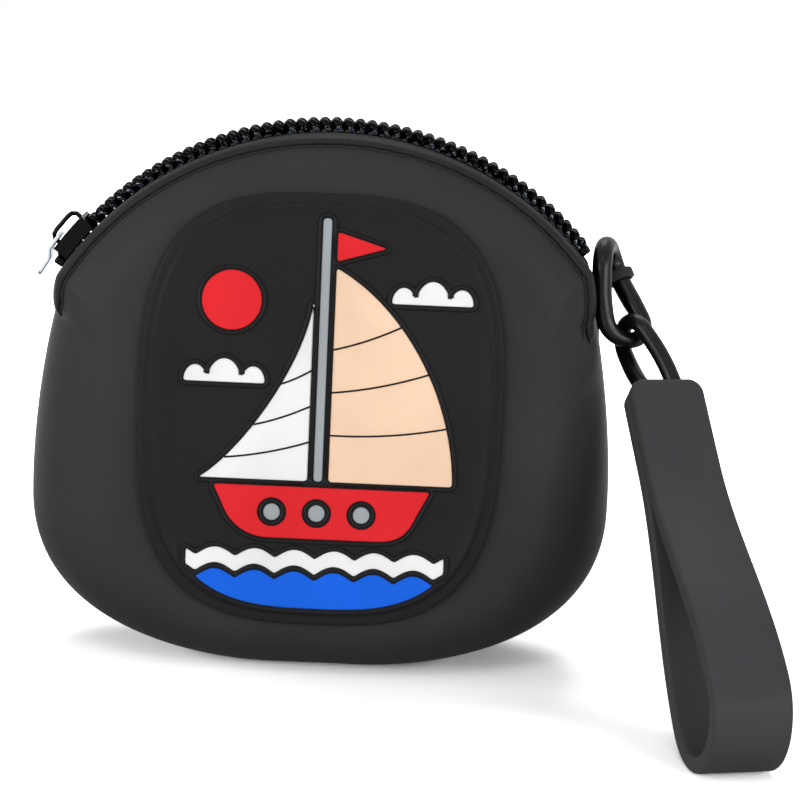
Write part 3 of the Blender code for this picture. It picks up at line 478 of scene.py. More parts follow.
def path_of(name, points, outwards=None, closed=False):
    """A line of mesh edges through points, with the direction that is outward at each of them."""
    mesh = bpy.data.meshes.new(name)
    count = len(points)
    edges = [(i, (i + 1) % count) for i in range(count if closed else count - 1)]
    mesh.from_pydata([tuple(p) for p in points], edges, [])
    if outwards:
        outward = mesh.attributes.new("outward", "FLOAT_VECTOR", "POINT")
        for item, direction in zip(outward.data, outwards):
            item.vector = direction
    return placed(name, mesh)


def new_tree(name, sizes):
    """An empty Geometry Nodes tree with a geometry, named sizes and a material as its inputs."""
    tree = bpy.data.node_groups.new(name, "GeometryNodeTree")
    tree.interface.new_socket("Geometry", in_out="INPUT", socket_type="NodeSocketGeometry")
    for size, value in sizes.items():
        whole = isinstance(value, int)
        socket = tree.interface.new_socket(size, in_out="INPUT",
                                           socket_type="NodeSocketInt" if whole else "NodeSocketFloat")
        socket.default_value = value
    tree.interface.new_socket("Material", in_out="INPUT", socket_type="NodeSocketMaterial")
    tree.interface.new_socket("Geometry", in_out="OUTPUT", socket_type="NodeSocketGeometry")
    return tree, add(tree, "NodeGroupInput").outputs


def end_tree(tree, shape, material):
    """Close a tree: its instances become real, smooth, and take the material."""
    real = add(tree, "GeometryNodeRealizeInstances", {"Geometry": shape})
    smooth = add(tree, "GeometryNodeSetShadeSmooth", {"Geometry": real})
    dressed_up = add(tree, "GeometryNodeSetMaterial", {"Geometry": smooth, "Material": material})
    add(tree, "NodeGroupOutput", {"Geometry": dressed_up})


def grown_by(made, tree, material, **sizes):
    """Run a tree on an object with these sizes, and keep the result as its plain mesh."""
    step = made.modifiers.new("shape", "NODES")
    step.node_group = tree
    for item in tree.interface.items_tree:
        if item.in_out == "INPUT" and item.name in sizes:
            step[item.identifier] = sizes[item.name]
        if item.in_out == "INPUT" and item.name == "Material":
            step[item.identifier] = material
    return baked(made)


stitch_tree, given = new_tree("stitch_row", {"Pitch": STITCH_PITCH, "Stitch": STITCH_LENGTH,
                                             "Thread": STITCH_R, "Groove Shade": SEAM_GROOVE_SHADE_R})
line = add(stitch_tree, "GeometryNodeMeshToCurve", {"Mesh": given["Geometry"]})
groove_shade_round = add(stitch_tree, "GeometryNodeCurvePrimitiveCircle",
                   {"Resolution": 8, "Radius": given["Groove Shade"]})
# Painted shade: a solid black tube lies in the crease under the welt, standing for the groove's shade as
# well as for the thread.
groove_shade = add(stitch_tree, "GeometryNodeCurveToMesh",
             {"Curve": line, "Profile Curve": groove_shade_round, "Fill Caps": True})
spots = add(stitch_tree, "GeometryNodeResampleCurve", {"Curve": line, "Length": given["Pitch"]},
            mode="LENGTH")
ball = add(stitch_tree, "GeometryNodeMeshUVSphere", {"Segments": 8, "Rings": 6, "Radius": 1.0})
half_stitch = add(stitch_tree, "ShaderNodeMath", (given["Stitch"], 0.5), operation="MULTIPLY")
stretch = add(stitch_tree, "ShaderNodeCombineXYZ",
              {"X": half_stitch, "Y": given["Thread"], "Z": given["Thread"]})
outward = add(stitch_tree, "GeometryNodeInputNamedAttribute", {"Name": "outward"},
              data_type="FLOAT_VECTOR")
tangent = add(stitch_tree, "GeometryNodeInputTangent")
turn = add(stitch_tree, "FunctionNodeAxesToRotation",
           {"Primary Axis": tangent, "Secondary Axis": outward}, primary_axis="X", secondary_axis="Z")
lifted = add(stitch_tree, "ShaderNodeVectorMath", {0: outward, "Scale": given["Groove Shade"]},
             operation="SCALE")
raised = add(stitch_tree, "GeometryNodeSetPosition", {"Geometry": spots, "Offset": lifted})
stitches = add(stitch_tree, "GeometryNodeInstanceOnPoints",
               {"Points": raised, "Instance": ball, "Rotation": turn, "Scale": stretch})
both = add(stitch_tree, "GeometryNodeJoinGeometry")
stitch_tree.links.new(groove_shade.outputs[0], both.inputs[0])
stitch_tree.links.new(stitches.outputs[0], both.inputs[0])
end_tree(stitch_tree, both, given["Material"])

seam_thread = grained("polyester_thread", "080809", THREAD_PLY_MM, 2.0, THREAD_NAP,
                      {"Roughness": 0.75, "Specular IOR Level": 0.3, "Sheen Weight": 0.1}, (0.6, 1.5))
for name, node, side in (("front_seam", "front_seam_thread", 1.0),
                         ("back_seam", "back_seam_thread", -1.0)):
    points = []
    outwards = []
    for station in stations_between(SEAM_SHORT - band_end(-1), band_end(1) - SEAM_SHORT, 2 * FINE):
        roll = roll_after(station, band_rolls(station)[1], SEAM_OFF)
        facing = skin_normal(station, roll)
        point = skin(station, roll) + facing * SEAM_LIFT
        points.append((point.x, point.y * side, point.z))
        outwards.append((facing.x, facing.y * side, facing.z))
    seam = grown_by(path_of(name, points, outwards), stitch_tree, seam_thread)
    dressed(seam, seam_thread, "pouch", "seam_thread", node)


# Zip tapes. Two woven polyester tapes are sewn inside the mouth and carry the coils on their
# edges. They are black, matte and finely ribbed, and show as a dark strip under the coils.
TAPE_TOP_R = 66.05 * MM
TAPE_UNDER_R = 62.3 * MM
TAPE_THICK = 0.5 * MM
TAPE_EDGE_Y = 0.8 * MM
TAPE_BEND_Y = 4.3 * MM
TAPE_FLAT_Y = 4.7 * MM
TAPE_FALL_Y = 5.8 * MM
TAPE_DROP_Y = 5.9 * MM
TAPE_BEND = 0.3 * MM
TAPE_OUTER_Y = 7.4 * MM
TAPE_STEPS = 120
RIB_MM = 0.55
RIB_LIFT = 0.06 * MM
WAVE_PERIOD = 0.314
TAPE_SHARP = math.radians(50.0)


def swept(name, profile, start, end, steps):
    """A closed (y, radius) profile swept along the zip's arc, with its lengths as a UV map."""
    shape = bmesh.new()
    lengths = shape.loops.layers.uv.new("lengths")
    angles = [start + (end - start) * i / steps for i in range(steps + 1)]
    rows = [[shape.verts.new(zip_point(a, radius, y)) for y, radius in profile] for a in angles]
    walk = [0.0]
    for one, two in zip(profile, profile[1:] + profile[:1]):
        walk.append(walk[-1] + math.dist(one, two))
    for k in range(steps):
        for i in range(len(profile)):
            j = (i + 1) % len(profile)
            face = shape.faces.new((rows[k][i], rows[k][j], rows[k + 1][j], rows[k + 1][i]))
            ends = ((k, i), (k, i + 1), (k + 1, i + 1), (k + 1, i))
            for loop, (row, column) in zip(face.loops, ends):
                loop[lengths].uv = (angles[row] * TAPE_TOP_R, walk[column])
    shape.faces.new(rows[0])
    shape.faces.new(rows[-1][::-1])
    bmesh.ops.recalc_face_normals(shape, faces=shape.faces)
    return object_of(name, shape)


zip_tape = bpy.data.materials.new("woven_polyester_tape")
tape_tree = empty_tree(zip_tape)
tape_map = add(tape_tree, "ShaderNodeUVMap", uv_map="lengths")
warp, weft = [add(tape_tree, "ShaderNodeTexWave",
                  {"Vector": tape_map, "Scale": scale * WAVE_PERIOD / (RIB_MM * MM), "Distortion": 0.4},
                  bands_direction=way).outputs["Fac"] for scale, way in ((1, "X"), (2, "Y"))]
weave = add(tape_tree, "ShaderNodeMath", (warp, weft), operation="MULTIPLY")
weave_shade = add(tape_tree, "ShaderNodeMapRange", {"Value": weave, "To Min": 0.5, "To Max": 1.6})
weave_colour = add(tape_tree, "ShaderNodeVectorMath", {0: linear("121214")[:3], "Scale": weave_shade},
                   operation="SCALE")
weave_bump = add(tape_tree, "ShaderNodeBump", {"Height": weave, "Distance": RIB_LIFT})
weave_shader = add(tape_tree, "ShaderNodeBsdfPrincipled", {"Base Color": weave_colour, "Roughness": 0.85,
                   "Normal": weave_bump, "Specular IOR Level": 0.2, "Sheen Weight": 0.08})
add(tape_tree, "ShaderNodeOutputMaterial", {"Surface": weave_shader})

tape_line = [(TAPE_EDGE_Y, TAPE_TOP_R), (TAPE_BEND_Y, TAPE_TOP_R), (TAPE_FLAT_Y, TAPE_TOP_R - TAPE_BEND),
             (TAPE_FALL_Y, TAPE_UNDER_R + TAPE_BEND), (TAPE_DROP_Y + TAPE_BEND, TAPE_UNDER_R),
             (TAPE_OUTER_Y, TAPE_UNDER_R)]
tape_profile = tape_line + [(y, radius - TAPE_THICK) for y, radius in tape_line[::-1]]
for name, node, side in (("front_woven_tape", "front_tape", -1.0), ("back_woven_tape", "back_tape", 1.0)):
    profile = [(side * y, radius) for y, radius in tape_profile]
    made = swept(name, profile, -MOUTH_LEFT, MOUTH_RIGHT, TAPE_STEPS)
    made.data.set_sharp_from_angle(angle=TAPE_SHARP)
    dressed(made, zip_tape, "pouch", "zip_tape", node)


# Zip coils. Each row of teeth is one nylon monofilament wound into a tight flat coil, black and
# glossy, with its loops a tooth apart. Its crests are the round beads along the top of the pouch.
# The loops' lower front faces are painted bluish-white and metallic in broken streaks: painted glints.
COIL_CROWN_R = 69.0 * MM
COIL_WIRE_R = 0.80 * MM
COIL_RISE = 0.60 * MM
COIL_REACH = 0.62 * MM
COIL_ROW_Y = 1.86 * MM
COIL_START = math.radians(-55.2)
COIL_END = math.radians(47.9)
COIL_PITCH = 2.4 * MM
COIL_LOOP_POINTS = 16
COIL_STREAKS = 900.0
PAINTED_GLINT_OUT_SHARE = 0.8
PAINTED_GLINT_UNDER_SHARE = 0.6

zip_coil = bpy.data.materials.new("nylon_monofilament")
coil_tree = empty_tree(zip_coil)
coil_place = add(coil_tree, "ShaderNodeTexCoord").outputs["Object"]
coil_streak = add(coil_tree, "ShaderNodeTexNoise",
                  {"Vector": coil_place, "Scale": COIL_STREAKS, "Detail": 2.0})
coil_rough = add(coil_tree, "ShaderNodeMapRange", {"Value": coil_streak, "To Min": 0.06, "To Max": 0.22})
# Painted glints: where a loop faces out and down, its colour turns bluish-white and metallic, broken up
# by streak noise.
coil_facing = add(coil_tree, "ShaderNodeSeparateXYZ",
                  (add(coil_tree, "ShaderNodeNewGeometry").outputs["Normal"],))
coil_out = add(coil_tree, "ShaderNodeMath", (coil_facing.outputs["Y"],), operation="ABSOLUTE")
coil_under = add(coil_tree, "ShaderNodeMath", (coil_facing.outputs["Z"], -PAINTED_GLINT_UNDER_SHARE),
                 operation="MULTIPLY")
coil_turned = add(coil_tree, "ShaderNodeMath", (coil_out, PAINTED_GLINT_OUT_SHARE, coil_under),
                  operation="MULTIPLY_ADD")
painted_glint_spot = add(coil_tree, "ShaderNodeMapRange",
                {"Value": coil_turned, "From Min": 0.8, "From Max": 0.92},
                interpolation_type="SMOOTHSTEP")
painted_glint_breaks = add(coil_tree, "ShaderNodeMapRange",
                  {"Value": coil_streak, "From Min": 0.46, "From Max": 0.56},
                  interpolation_type="SMOOTHSTEP")
painted_glint = add(coil_tree, "ShaderNodeMath", (painted_glint_spot, painted_glint_breaks), operation="MULTIPLY")
coil_colour = add(coil_tree, "ShaderNodeMix", {0: painted_glint, 6: linear("030304"), 7: linear("C4D2E6")},
                  data_type="RGBA")
coil_shader = add(coil_tree, "ShaderNodeBsdfPrincipled", {"Base Color": coil_colour.outputs[2],
                  "Metallic": painted_glint, "Roughness": coil_rough, "IOR": 1.53,
                  "Specular IOR Level": 0.05})
add(coil_tree, "ShaderNodeOutputMaterial", {"Surface": coil_shader})

wound_tree, given = new_tree("wound_row", {
    "Start": COIL_START, "End": COIL_END, "Turns": 40, "Loop Points": 640, "Radius": COIL_CROWN_R,
    "Row": COIL_ROW_Y, "Side": 1.0, "Rise": COIL_RISE, "Reach": COIL_REACH, "Wire": COIL_WIRE_R})
straight = add(wound_tree, "GeometryNodeMeshLine", {"Count": given["Loop Points"]})
strand = add(wound_tree, "GeometryNodeMeshToCurve", {"Mesh": straight})
known = dict(given.items(), share=add(wound_tree, "GeometryNodeSplineParameter"))
for name, kind, *takes in (
        ("span", "SUBTRACT", "End", "Start"), ("gone", "MULTIPLY", "share", "span"),
        ("angle", "ADD", "Start", "gone"), ("turn", "MULTIPLY", "share", math.tau),
        ("winding", "MULTIPLY", "Turns", "turn"), ("up", "COSINE", "winding"),
        ("rise", "MULTIPLY", "Rise", "up"), ("aside", "SINE", "winding"),
        ("reach", "MULTIPLY", "Reach", "aside"), ("crest", "ADD", "Rise", "Wire"),
        ("middle", "SUBTRACT", "Radius", "crest"), ("radius", "ADD", "middle", "rise"),
        ("sine", "SINE", "angle"), ("X", "MULTIPLY", "radius", "sine"),
        ("off", "ADD", "Row", "reach"), ("Y", "MULTIPLY", "Side", "off"),
        ("cosine", "COSINE", "angle"), ("Z", "MULTIPLY", "radius", "cosine")):
    known[name] = add(wound_tree, "ShaderNodeMath", tuple(known.get(take, take) for take in takes),
                      operation=kind)
place = add(wound_tree, "ShaderNodeCombineXYZ", {key: known[key] for key in "XYZ"})
centred = add(wound_tree, "ShaderNodeVectorMath", (place, ZIP_MIDDLE), operation="ADD")
laid = add(wound_tree, "GeometryNodeSetPosition", {"Geometry": strand, "Position": centred})
wire_round = add(wound_tree, "GeometryNodeCurvePrimitiveCircle",
                 {"Resolution": 10, "Radius": given["Wire"]})
wound = add(wound_tree, "GeometryNodeCurveToMesh",
            {"Curve": laid, "Profile Curve": wire_round, "Fill Caps": True})
end_tree(wound_tree, wound, given["Material"])

turns = round((COIL_END - COIL_START) * (COIL_CROWN_R - COIL_RISE - COIL_WIRE_R) / COIL_PITCH)
for name, node, side in (("front_teeth", "front_coil", -1.0), ("back_teeth", "back_coil", 1.0)):
    row = grown_by(path_of(name, [(0.0, 0.0, 0.0), (MM, 0.0, 0.0)]), wound_tree, zip_coil,
                   Turns=turns, Side=side, **{"Loop Points": turns * COIL_LOOP_POINTS})
    dressed(row, zip_coil, "pouch", "zip_coil", node)


# Slider, pull and stops. They are die-cast zinc: the slider and the three stops are enamelled
# black, and the pull is bare bright metal. Their edges are rounded by tumbling.
CAST_EDGE = 0.22 * MM
STOP_EDGE = 0.5 * MM
SLIDER_EDGE = 0.45 * MM
FACET_TURN = math.radians(1.0)
EDGE_TURN = math.radians(28.0)
PIT_MM = 0.6
PIT_LIFT = 0.0015 * MM


def softened(name, node, edge):
    """A CAD solid with its facets joined and its edges rounded."""
    shape = bmesh.new()
    shape.from_mesh(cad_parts[node].data)
    bmesh.ops.remove_doubles(shape, verts=shape.verts, dist=WELD)
    bmesh.ops.dissolve_limit(shape, angle_limit=FACET_TURN, verts=shape.verts, edges=shape.edges)
    bmesh.ops.recalc_face_normals(shape, faces=shape.faces)
    made = object_of(name, shape)
    rounding = made.modifiers.new("rounding", "BEVEL")
    rounding.width = edge
    rounding.segments = 4
    rounding.limit_method = "ANGLE"
    rounding.angle_limit = EDGE_TURN
    flats = made.modifiers.new("flats", "WEIGHTED_NORMAL")
    flats.keep_sharp = True
    return baked(made)


def cast_metal(name, code, roughness, metallic, gloss):
    """Tumbled die-cast zinc, enamelled or bare, with the faint pits and streaks of tumbling."""
    return grained(name, code, PIT_MM, 3.0, PIT_LIFT, {"Metallic": metallic, "Specular IOR Level": gloss},
                   roughs=(roughness - 0.02, roughness + 0.03))


black_enamel = cast_metal("black_enamel_on_zinc", "040405", 0.18, 0.0, 0.08)
bright_zinc = cast_metal("bright_tumbled_zinc", "B4BEC8", 0.24, 1.0, 0.5)
for name, node, body_name, metal, slot, edge in (
        ("slider", "slider_body", "slider", black_enamel, "black_metal", SLIDER_EDGE),
        ("pull", "pull_tab", "pull", bright_zinc, "pull_metal", CAST_EDGE),
        ("start_stop_front", "top_stop_front", "pouch", black_enamel, "black_metal", STOP_EDGE),
        ("start_stop_back", "top_stop_back", "pouch", black_enamel, "black_metal", STOP_EDGE),
        ("end_stop", "bottom_stop", "pouch", black_enamel, "black_metal", STOP_EDGE)):
    dressed(softened(name, node, edge), metal, body_name, slot, node)


# Links. Two closed rings of thick wire are twisted so that each lies flat where it is held. They
# are cast zinc under a satin black lacquer, which gives them long soft sheens, and their wire is a
# little thinner where one ring holds the other.
WIRE_R = 1.7 * MM
HELD_WIRE_R = 1.66 * MM
UPPER_SWELL = 0.22
LOWER_SWELL = 0.04
SWELL_STEEPNESS = 1.4
LINK_POINTS = 144
LINK_SIDES = 24
SHOULDER_AT = ARC_SPAN + 1.455
BODY_LINK_OUT = 6.04 * MM
BODY_LINK_Y = -0.5 * MM
BODY_LINK_HALF_LENGTH = 10.1 * MM
BODY_LINK_HALF_WIDTH = 4.6 * MM
BODY_LINK_HEADING = math.radians(-45.0)
BODY_LINK_DROP = math.radians(65.0)
BODY_LINK_TURN = math.radians(-55.0)
BODY_LINK_TWIST = math.radians(22.0)
BODY_LINK_BOW = 1.2 * MM
STRAP_LINK_HALF_LENGTH = 10.4 * MM
STRAP_LINK_TOP_HALF = 4.6 * MM
STRAP_LINK_END_HALF = 2.3 * MM
STRAP_LINK_SKEW = math.radians(17.0)
STRAP_LINK_FLAT = -1.3
LINK_GAP = 0.35 * MM
STRAP_SHIFT = 0.2 * MM
STRAP_GRIP = 5.0 * MM
STRAP_LENGTH = 84.0 * MM
STRAP_LOOP_R = 12.4 * MM
STRAP_HEADING = math.radians(13.0)
LEAN_STEPS = 30


def round_share(c, half_length, top_r, end_r):
    """How far a link has opened at c, from 0 at its two round ends to 1 between them."""
    left = half_length * (1.0 - abs(c))
    return math.sqrt(1.0 - max(0.0, 1.0 - left / (top_r if c < 0 else end_r)) ** 2)


def link_path(middle_at, half_length, top_half, end_half, long_axis, aside, swing_at):
    """Centre line of a link. c runs from -1 at its top end to 1 at its lower end."""
    other = long_axis.cross(aside)
    points = []
    for i in range(LINK_POINTS):
        t = math.tau * i / LINK_POINTS
        c = math.cos(t)
        half = top_half + (end_half - top_half) * (1.0 + c) / 2
        reach = math.copysign(half * round_share(c, half_length, top_half, end_half), math.sin(t))
        swing = swing_at(c)
        points.append(middle_at(c) + (aside * math.cos(swing) + other * math.sin(swing)) * reach)
    return points


body_link_axis = Vector((math.cos(BODY_LINK_DROP) * math.cos(BODY_LINK_HEADING),
                         math.cos(BODY_LINK_DROP) * math.sin(BODY_LINK_HEADING),
                         -math.sin(BODY_LINK_DROP)))
body_link_aside = body_link_axis.cross(Vector((0.0, 1.0, 0.0))).normalized()
shoulder_x, shoulder_z = edge_point(SHOULDER_AT)
body_link_centre = Vector((shoulder_x + BODY_LINK_OUT, BODY_LINK_Y, shoulder_z))


def body_link_middle(c):
    return (body_link_centre + body_link_axis * (BODY_LINK_HALF_LENGTH * c)
            - body_link_aside * (BODY_LINK_BOW * (1.0 - c * c)))


body_link_line = link_path(body_link_middle, BODY_LINK_HALF_LENGTH, BODY_LINK_HALF_WIDTH,
                           BODY_LINK_HALF_WIDTH, body_link_axis, body_link_aside,
                           lambda c: BODY_LINK_TURN + BODY_LINK_TWIST * math.sin(c * math.pi / 2))


def strap_axes(lean):
    """The strap's length, width and thickness directions at a lean from upright."""
    length = Vector((math.sin(lean) * math.sin(STRAP_HEADING),
                     -math.sin(lean) * math.cos(STRAP_HEADING), -math.cos(lean)))
    width = Vector((math.cos(STRAP_HEADING), math.sin(STRAP_HEADING), 0.0))
    return length, width, length.cross(width)


strap_lean = 0.0
for _ in range(LEAN_STEPS):
    strap_length, strap_width, strap_thick = strap_axes(strap_lean)
    strap_link_axis = strap_length * math.cos(STRAP_LINK_SKEW) + strap_width * math.sin(STRAP_LINK_SKEW)
    strap_link_top = body_link_middle(1.0) - strap_link_axis * (2 * WIRE_R + LINK_GAP)
    strap_mouth = (strap_link_top + strap_link_axis * (2 * STRAP_LINK_HALF_LENGTH - STRAP_GRIP)
                   + strap_width * STRAP_SHIFT)
    strap_lean = math.acos((strap_mouth.z - STRAP_LOOP_R) / (STRAP_LENGTH - STRAP_LOOP_R))
strap_length, strap_width, strap_thick = strap_axes(strap_lean)
link_crossed = (body_link_line[1] - body_link_line[-1]).normalized()
link_flat = strap_link_axis.cross(strap_thick).normalized()
link_crossing = strap_link_axis.cross(link_crossed).normalized()
link_turn = math.atan2(link_flat.cross(link_crossing).dot(strap_link_axis), link_flat.dot(link_crossing))
if abs(link_turn) > math.pi / 2:
    link_turn -= math.copysign(math.pi, link_turn)


def strap_link_swing(c):
    share = min(1.0, max(0.0, (-c - STRAP_LINK_FLAT) / (1.0 - STRAP_LINK_FLAT)))
    return link_turn * share * share * (3.0 - 2.0 * share)


strap_link_line = link_path(
    lambda c: strap_link_top + strap_link_axis * (STRAP_LINK_HALF_LENGTH * (1.0 + c)),
    STRAP_LINK_HALF_LENGTH, STRAP_LINK_TOP_HALF, STRAP_LINK_END_HALF,
    strap_link_axis, link_flat, strap_link_swing)

wire_tree, given = new_tree("bent_wire",
                            {"Wire": HELD_WIRE_R, "Sides": LINK_SIDES, "Swell": 0.0, "Hold": 0.0})
bent = add(wire_tree, "GeometryNodeMeshToCurve", {"Mesh": given["Geometry"]})
bent_round = add(wire_tree, "GeometryNodeCurvePrimitiveCircle",
                 {"Resolution": given["Sides"], "Radius": given["Wire"]})
known = dict(given.items(), at=add(wire_tree, "GeometryNodeSplineParameter"))
for name, kind, *takes in (
        ("past", "SUBTRACT", "at", "Hold"), ("turn", "MULTIPLY", "past", math.tau),
        ("near", "COSINE", "turn"), ("away", "SUBTRACT", 1.0, "near"),
        ("steep", "MULTIPLY", "away", SWELL_STEEPNESS), ("full", "MINIMUM", "steep", 1.0),
        ("swollen", "MULTIPLY", "full", "Swell"), ("scale", "ADD", "swollen", 1.0)):
    known[name] = add(wire_tree, "ShaderNodeMath", tuple(known.get(take, take) for take in takes),
                      operation=kind)
wire = add(wire_tree, "GeometryNodeCurveToMesh",
           {"Curve": bent, "Profile Curve": bent_round, "Scale": known["scale"]})
end_tree(wire_tree, wire, given["Material"])

satin_lacquer = cast_metal("satin_black_lacquer", "0A0A0B", 0.28, 0.0, 0.20)
for name, node, body_name, route, swell, hold in (
        ("upper_ring", "body_link", "link", body_link_line, UPPER_SWELL, 0.0),
        ("lower_ring", "strap_link", "strap", strap_link_line, LOWER_SWELL, 0.5)):
    ring = grown_by(path_of(name, route, closed=True), wire_tree, satin_lacquer, Swell=swell, Hold=hold)
    dressed(ring, satin_lacquer, body_name, "black_metal", node)


# Side lug. The body's silicone runs out into an eye on its right shoulder, which holds the upper
# ring, and into a fin below it that thins away down the side.
LUG_SHARE = 0.31
LUG_PLATE = 2.2 * MM
LUG_BORE_R = 2.2 * MM
LUG_WALL = 1.0 * MM
LUG_ROOT = 6.0 * MM
LUG_EDGE = 0.5 * MM
LUG_STEPS = 24
BORE_POINTS = 32
FLAT_ROUNDS = 3
FLAT_WELD = 0.004 * MM
FIN_FOOT_AT = ARC_SPAN + 3.4
FIN_HEAD_AT = ARC_SPAN + 0.6
FIN_HALF = 1.5 * MM
FIN_REACH = 3.6 * MM
FIN_SEAT = 1.2 * MM
FIN_DEPTH = 2.0 * MM
FIN_TAPER = 0.7
FIN_START_SHARE = 0.4
FIN_START_SLOPE = 6.0
FIN_THINNING = 0.6
FIN_ROUND = 0.6
FIN_STEPS = 28
FIN_SIDES = 10


def flat_moulding(name, outlines, low, high, edge, place):
    """A flat plate from closed outlines between two heights, with its edges rounded over."""
    flat = bpy.data.curves.new(name, "CURVE")
    flat.dimensions = "2D"
    flat.fill_mode = "BOTH"
    flat.extrude = (high - low) / 2 - edge
    flat.bevel_depth = edge
    flat.bevel_resolution = FLAT_ROUNDS
    flat.offset = -edge
    for outline in outlines:
        drawn = flat.splines.new("POLY")
        drawn.points.add(len(outline) - 1)
        for spot, point in zip(drawn.points, outline):
            spot.co = (point[0], point[1], 0.0, 1.0)
        drawn.use_cyclic_u = True
    made = placed(name, flat)
    bpy.context.view_layer.update()
    mesh = bpy.data.meshes.new_from_object(made.evaluated_get(bpy.context.evaluated_depsgraph_get()))
    bpy.data.objects.remove(made)
    mesh.transform(place @ Matrix.Translation((0.0, 0.0, (low + high) / 2)))
    shape = bmesh.new()
    shape.from_mesh(mesh)
    bmesh.ops.remove_doubles(shape, verts=shape.verts, dist=FLAT_WELD)
    bmesh.ops.recalc_face_normals(shape, faces=shape.faces)
    plate = object_of(name, shape)
    flats = plate.modifiers.new("flats", "WEIGHTED_NORMAL")
    flats.mode = "FACE_AREA"
    return baked(plate)


i = round(LUG_SHARE * LINK_POINTS)
lug_centre = body_link_line[i]
lug_axis = (body_link_line[i + 1] - body_link_line[i - 1]).normalized()
lug_out = lug_centre - zip_point(0.0, 0.0, lug_centre.y)
lug_out = (lug_out - lug_axis * lug_out.dot(lug_axis)).normalized()
lug_place = Matrix((lug_out, lug_axis.cross(lug_out), lug_axis)).transposed().to_4x4()
lug_place.translation = lug_centre
lug_round = LUG_BORE_R + LUG_WALL
lug_turns = [math.pi * (k / LUG_STEPS - 0.5) for k in range(LUG_STEPS + 1)]
lug_outline = [(lug_round * math.cos(turn), lug_round * math.sin(turn)) for turn in lug_turns]
lug_outline += [(-LUG_ROOT, lug_round), (-LUG_ROOT, -lug_round)]
bore_turns = [math.tau * k / BORE_POINTS for k in range(BORE_POINTS)]
lug_bore = [(LUG_BORE_R * math.cos(turn), LUG_BORE_R * math.sin(turn)) for turn in bore_turns]
lug = flat_moulding("side_eye", [lug_outline, lug_bore], -LUG_PLATE / 2, LUG_PLATE / 2, LUG_EDGE,
                    lug_place)
dressed(lug, body_silicone, "pouch", "body_silicone", "side_lug")

rings = []
for k in range(FIN_STEPS + 1):
    share = k / FIN_STEPS
    station = FIN_HEAD_AT + (FIN_FOOT_AT - FIN_HEAD_AT) * share
    x, z = edge_point(station)
    inward = Vector((ZIP_MIDDLE.x - x, 0.0, ZIP_MIDDLE.z - z)).normalized()
    proud = FIN_REACH * (1.0 - share) ** FIN_TAPER * min(1.0, FIN_START_SHARE + FIN_START_SLOPE * share)
    ring = []
    for j in range(FIN_SIDES + 1):
        turn = math.pi * j / FIN_SIDES
        across_y = FIN_HALF * math.cos(turn) * (1.0 - FIN_THINNING * share)
        ring.append(Vector((x, across_y, z)) - inward * (proud * math.sin(turn) ** FIN_ROUND - FIN_SEAT))
    ring.append(Vector((x, 0.0, z)) + inward * FIN_DEPTH)
    rings.append(ring)
dressed(skinned("side_fin", rings), body_silicone, "pouch", "body_silicone")


# Wrist strap. One moulded silicone band is folded over the lower ring and bonded to itself for a
# thumb's width, then opens into a loop. Its edges are rounded and its two ends have round corners.
STRAP_WIDTH = 15.4 * MM
STRAP_THICK = 3.3 * MM
STRAP_BLOCK = 20.0 * MM
STRAP_CORNER = 3.2 * MM
STRAP_EDGE = 0.75 * MM
STRAP_RUN_STEPS = 64
STRAP_LOOP_STEPS = 48
STRAP_END_STEPS = 8
STRAP_EDGE_STEPS = 4
strap_silicone = moulded_rubber("satin_silicone", "404143", 0.40)

loop_centre = STRAP_LENGTH - STRAP_LOOP_R
loop_spread = STRAP_LOOP_R - STRAP_THICK
shares = [k / STRAP_END_STEPS for k in range(STRAP_END_STEPS)]
runs = [STRAP_CORNER * (1.0 - math.cos(math.pi / 2 * share)) for share in shares]
runs += [STRAP_CORNER + (STRAP_BLOCK - STRAP_CORNER) * share for share in shares]
runs += [STRAP_BLOCK + (loop_centre - STRAP_BLOCK) * k / STRAP_RUN_STEPS for k in range(STRAP_RUN_STEPS)]
centre_line = []
for along in runs:
    opened = max(0.0, (along - STRAP_BLOCK) / (loop_centre - STRAP_BLOCK))
    centre_line.append((along, STRAP_THICK / 2 + loop_spread * opened * opened * (3.0 - 2.0 * opened)))
strap_line = list(centre_line)
for k in range(STRAP_LOOP_STEPS + 1):
    turn = math.pi * (0.5 - k / STRAP_LOOP_STEPS)
    radius = STRAP_LOOP_R - STRAP_THICK / 2
    strap_line.append((loop_centre + radius * math.cos(turn), radius * math.sin(turn)))
strap_line += [(along, -off) for along, off in centre_line[::-1]]

rings = []
for k, (along, off) in enumerate(strap_line):
    before = strap_line[max(0, k - 1)]
    after = strap_line[min(len(strap_line) - 1, k + 1)]
    way = Vector((after[0] - before[0], after[1] - before[1])).normalized()
    facing = strap_length * -way.y + strap_thick * way.x
    spot = strap_mouth + strap_length * along + strap_thick * off
    lost = max(0.0, STRAP_CORNER - along)
    half_width = STRAP_WIDTH / 2 - STRAP_CORNER + math.sqrt(STRAP_CORNER ** 2 - lost ** 2)
    blunt = max(0.0, STRAP_EDGE - along)
    half_thick = STRAP_THICK / 2 - STRAP_EDGE + math.sqrt(STRAP_EDGE ** 2 - blunt ** 2)
    ring = []
    for sx, sy, start in ((1, 1, 0.0), (-1, 1, 0.5), (-1, -1, 1.0), (1, -1, 1.5)):
        for j in range(STRAP_EDGE_STEPS + 1):
            turn = math.pi * (start + j / STRAP_EDGE_STEPS / 2)
            edge = min(STRAP_EDGE, half_thick)
            wide = sx * (half_width - edge) + edge * math.cos(turn)
            deep = sy * (half_thick - edge) + edge * math.sin(turn)
            ring.append(spot + strap_width * wide + facing * deep)
    rings.append(ring)
dressed(skinned("looped_strap", rings), strap_silicone, "strap", "strap_silicone", "wrist_strap")


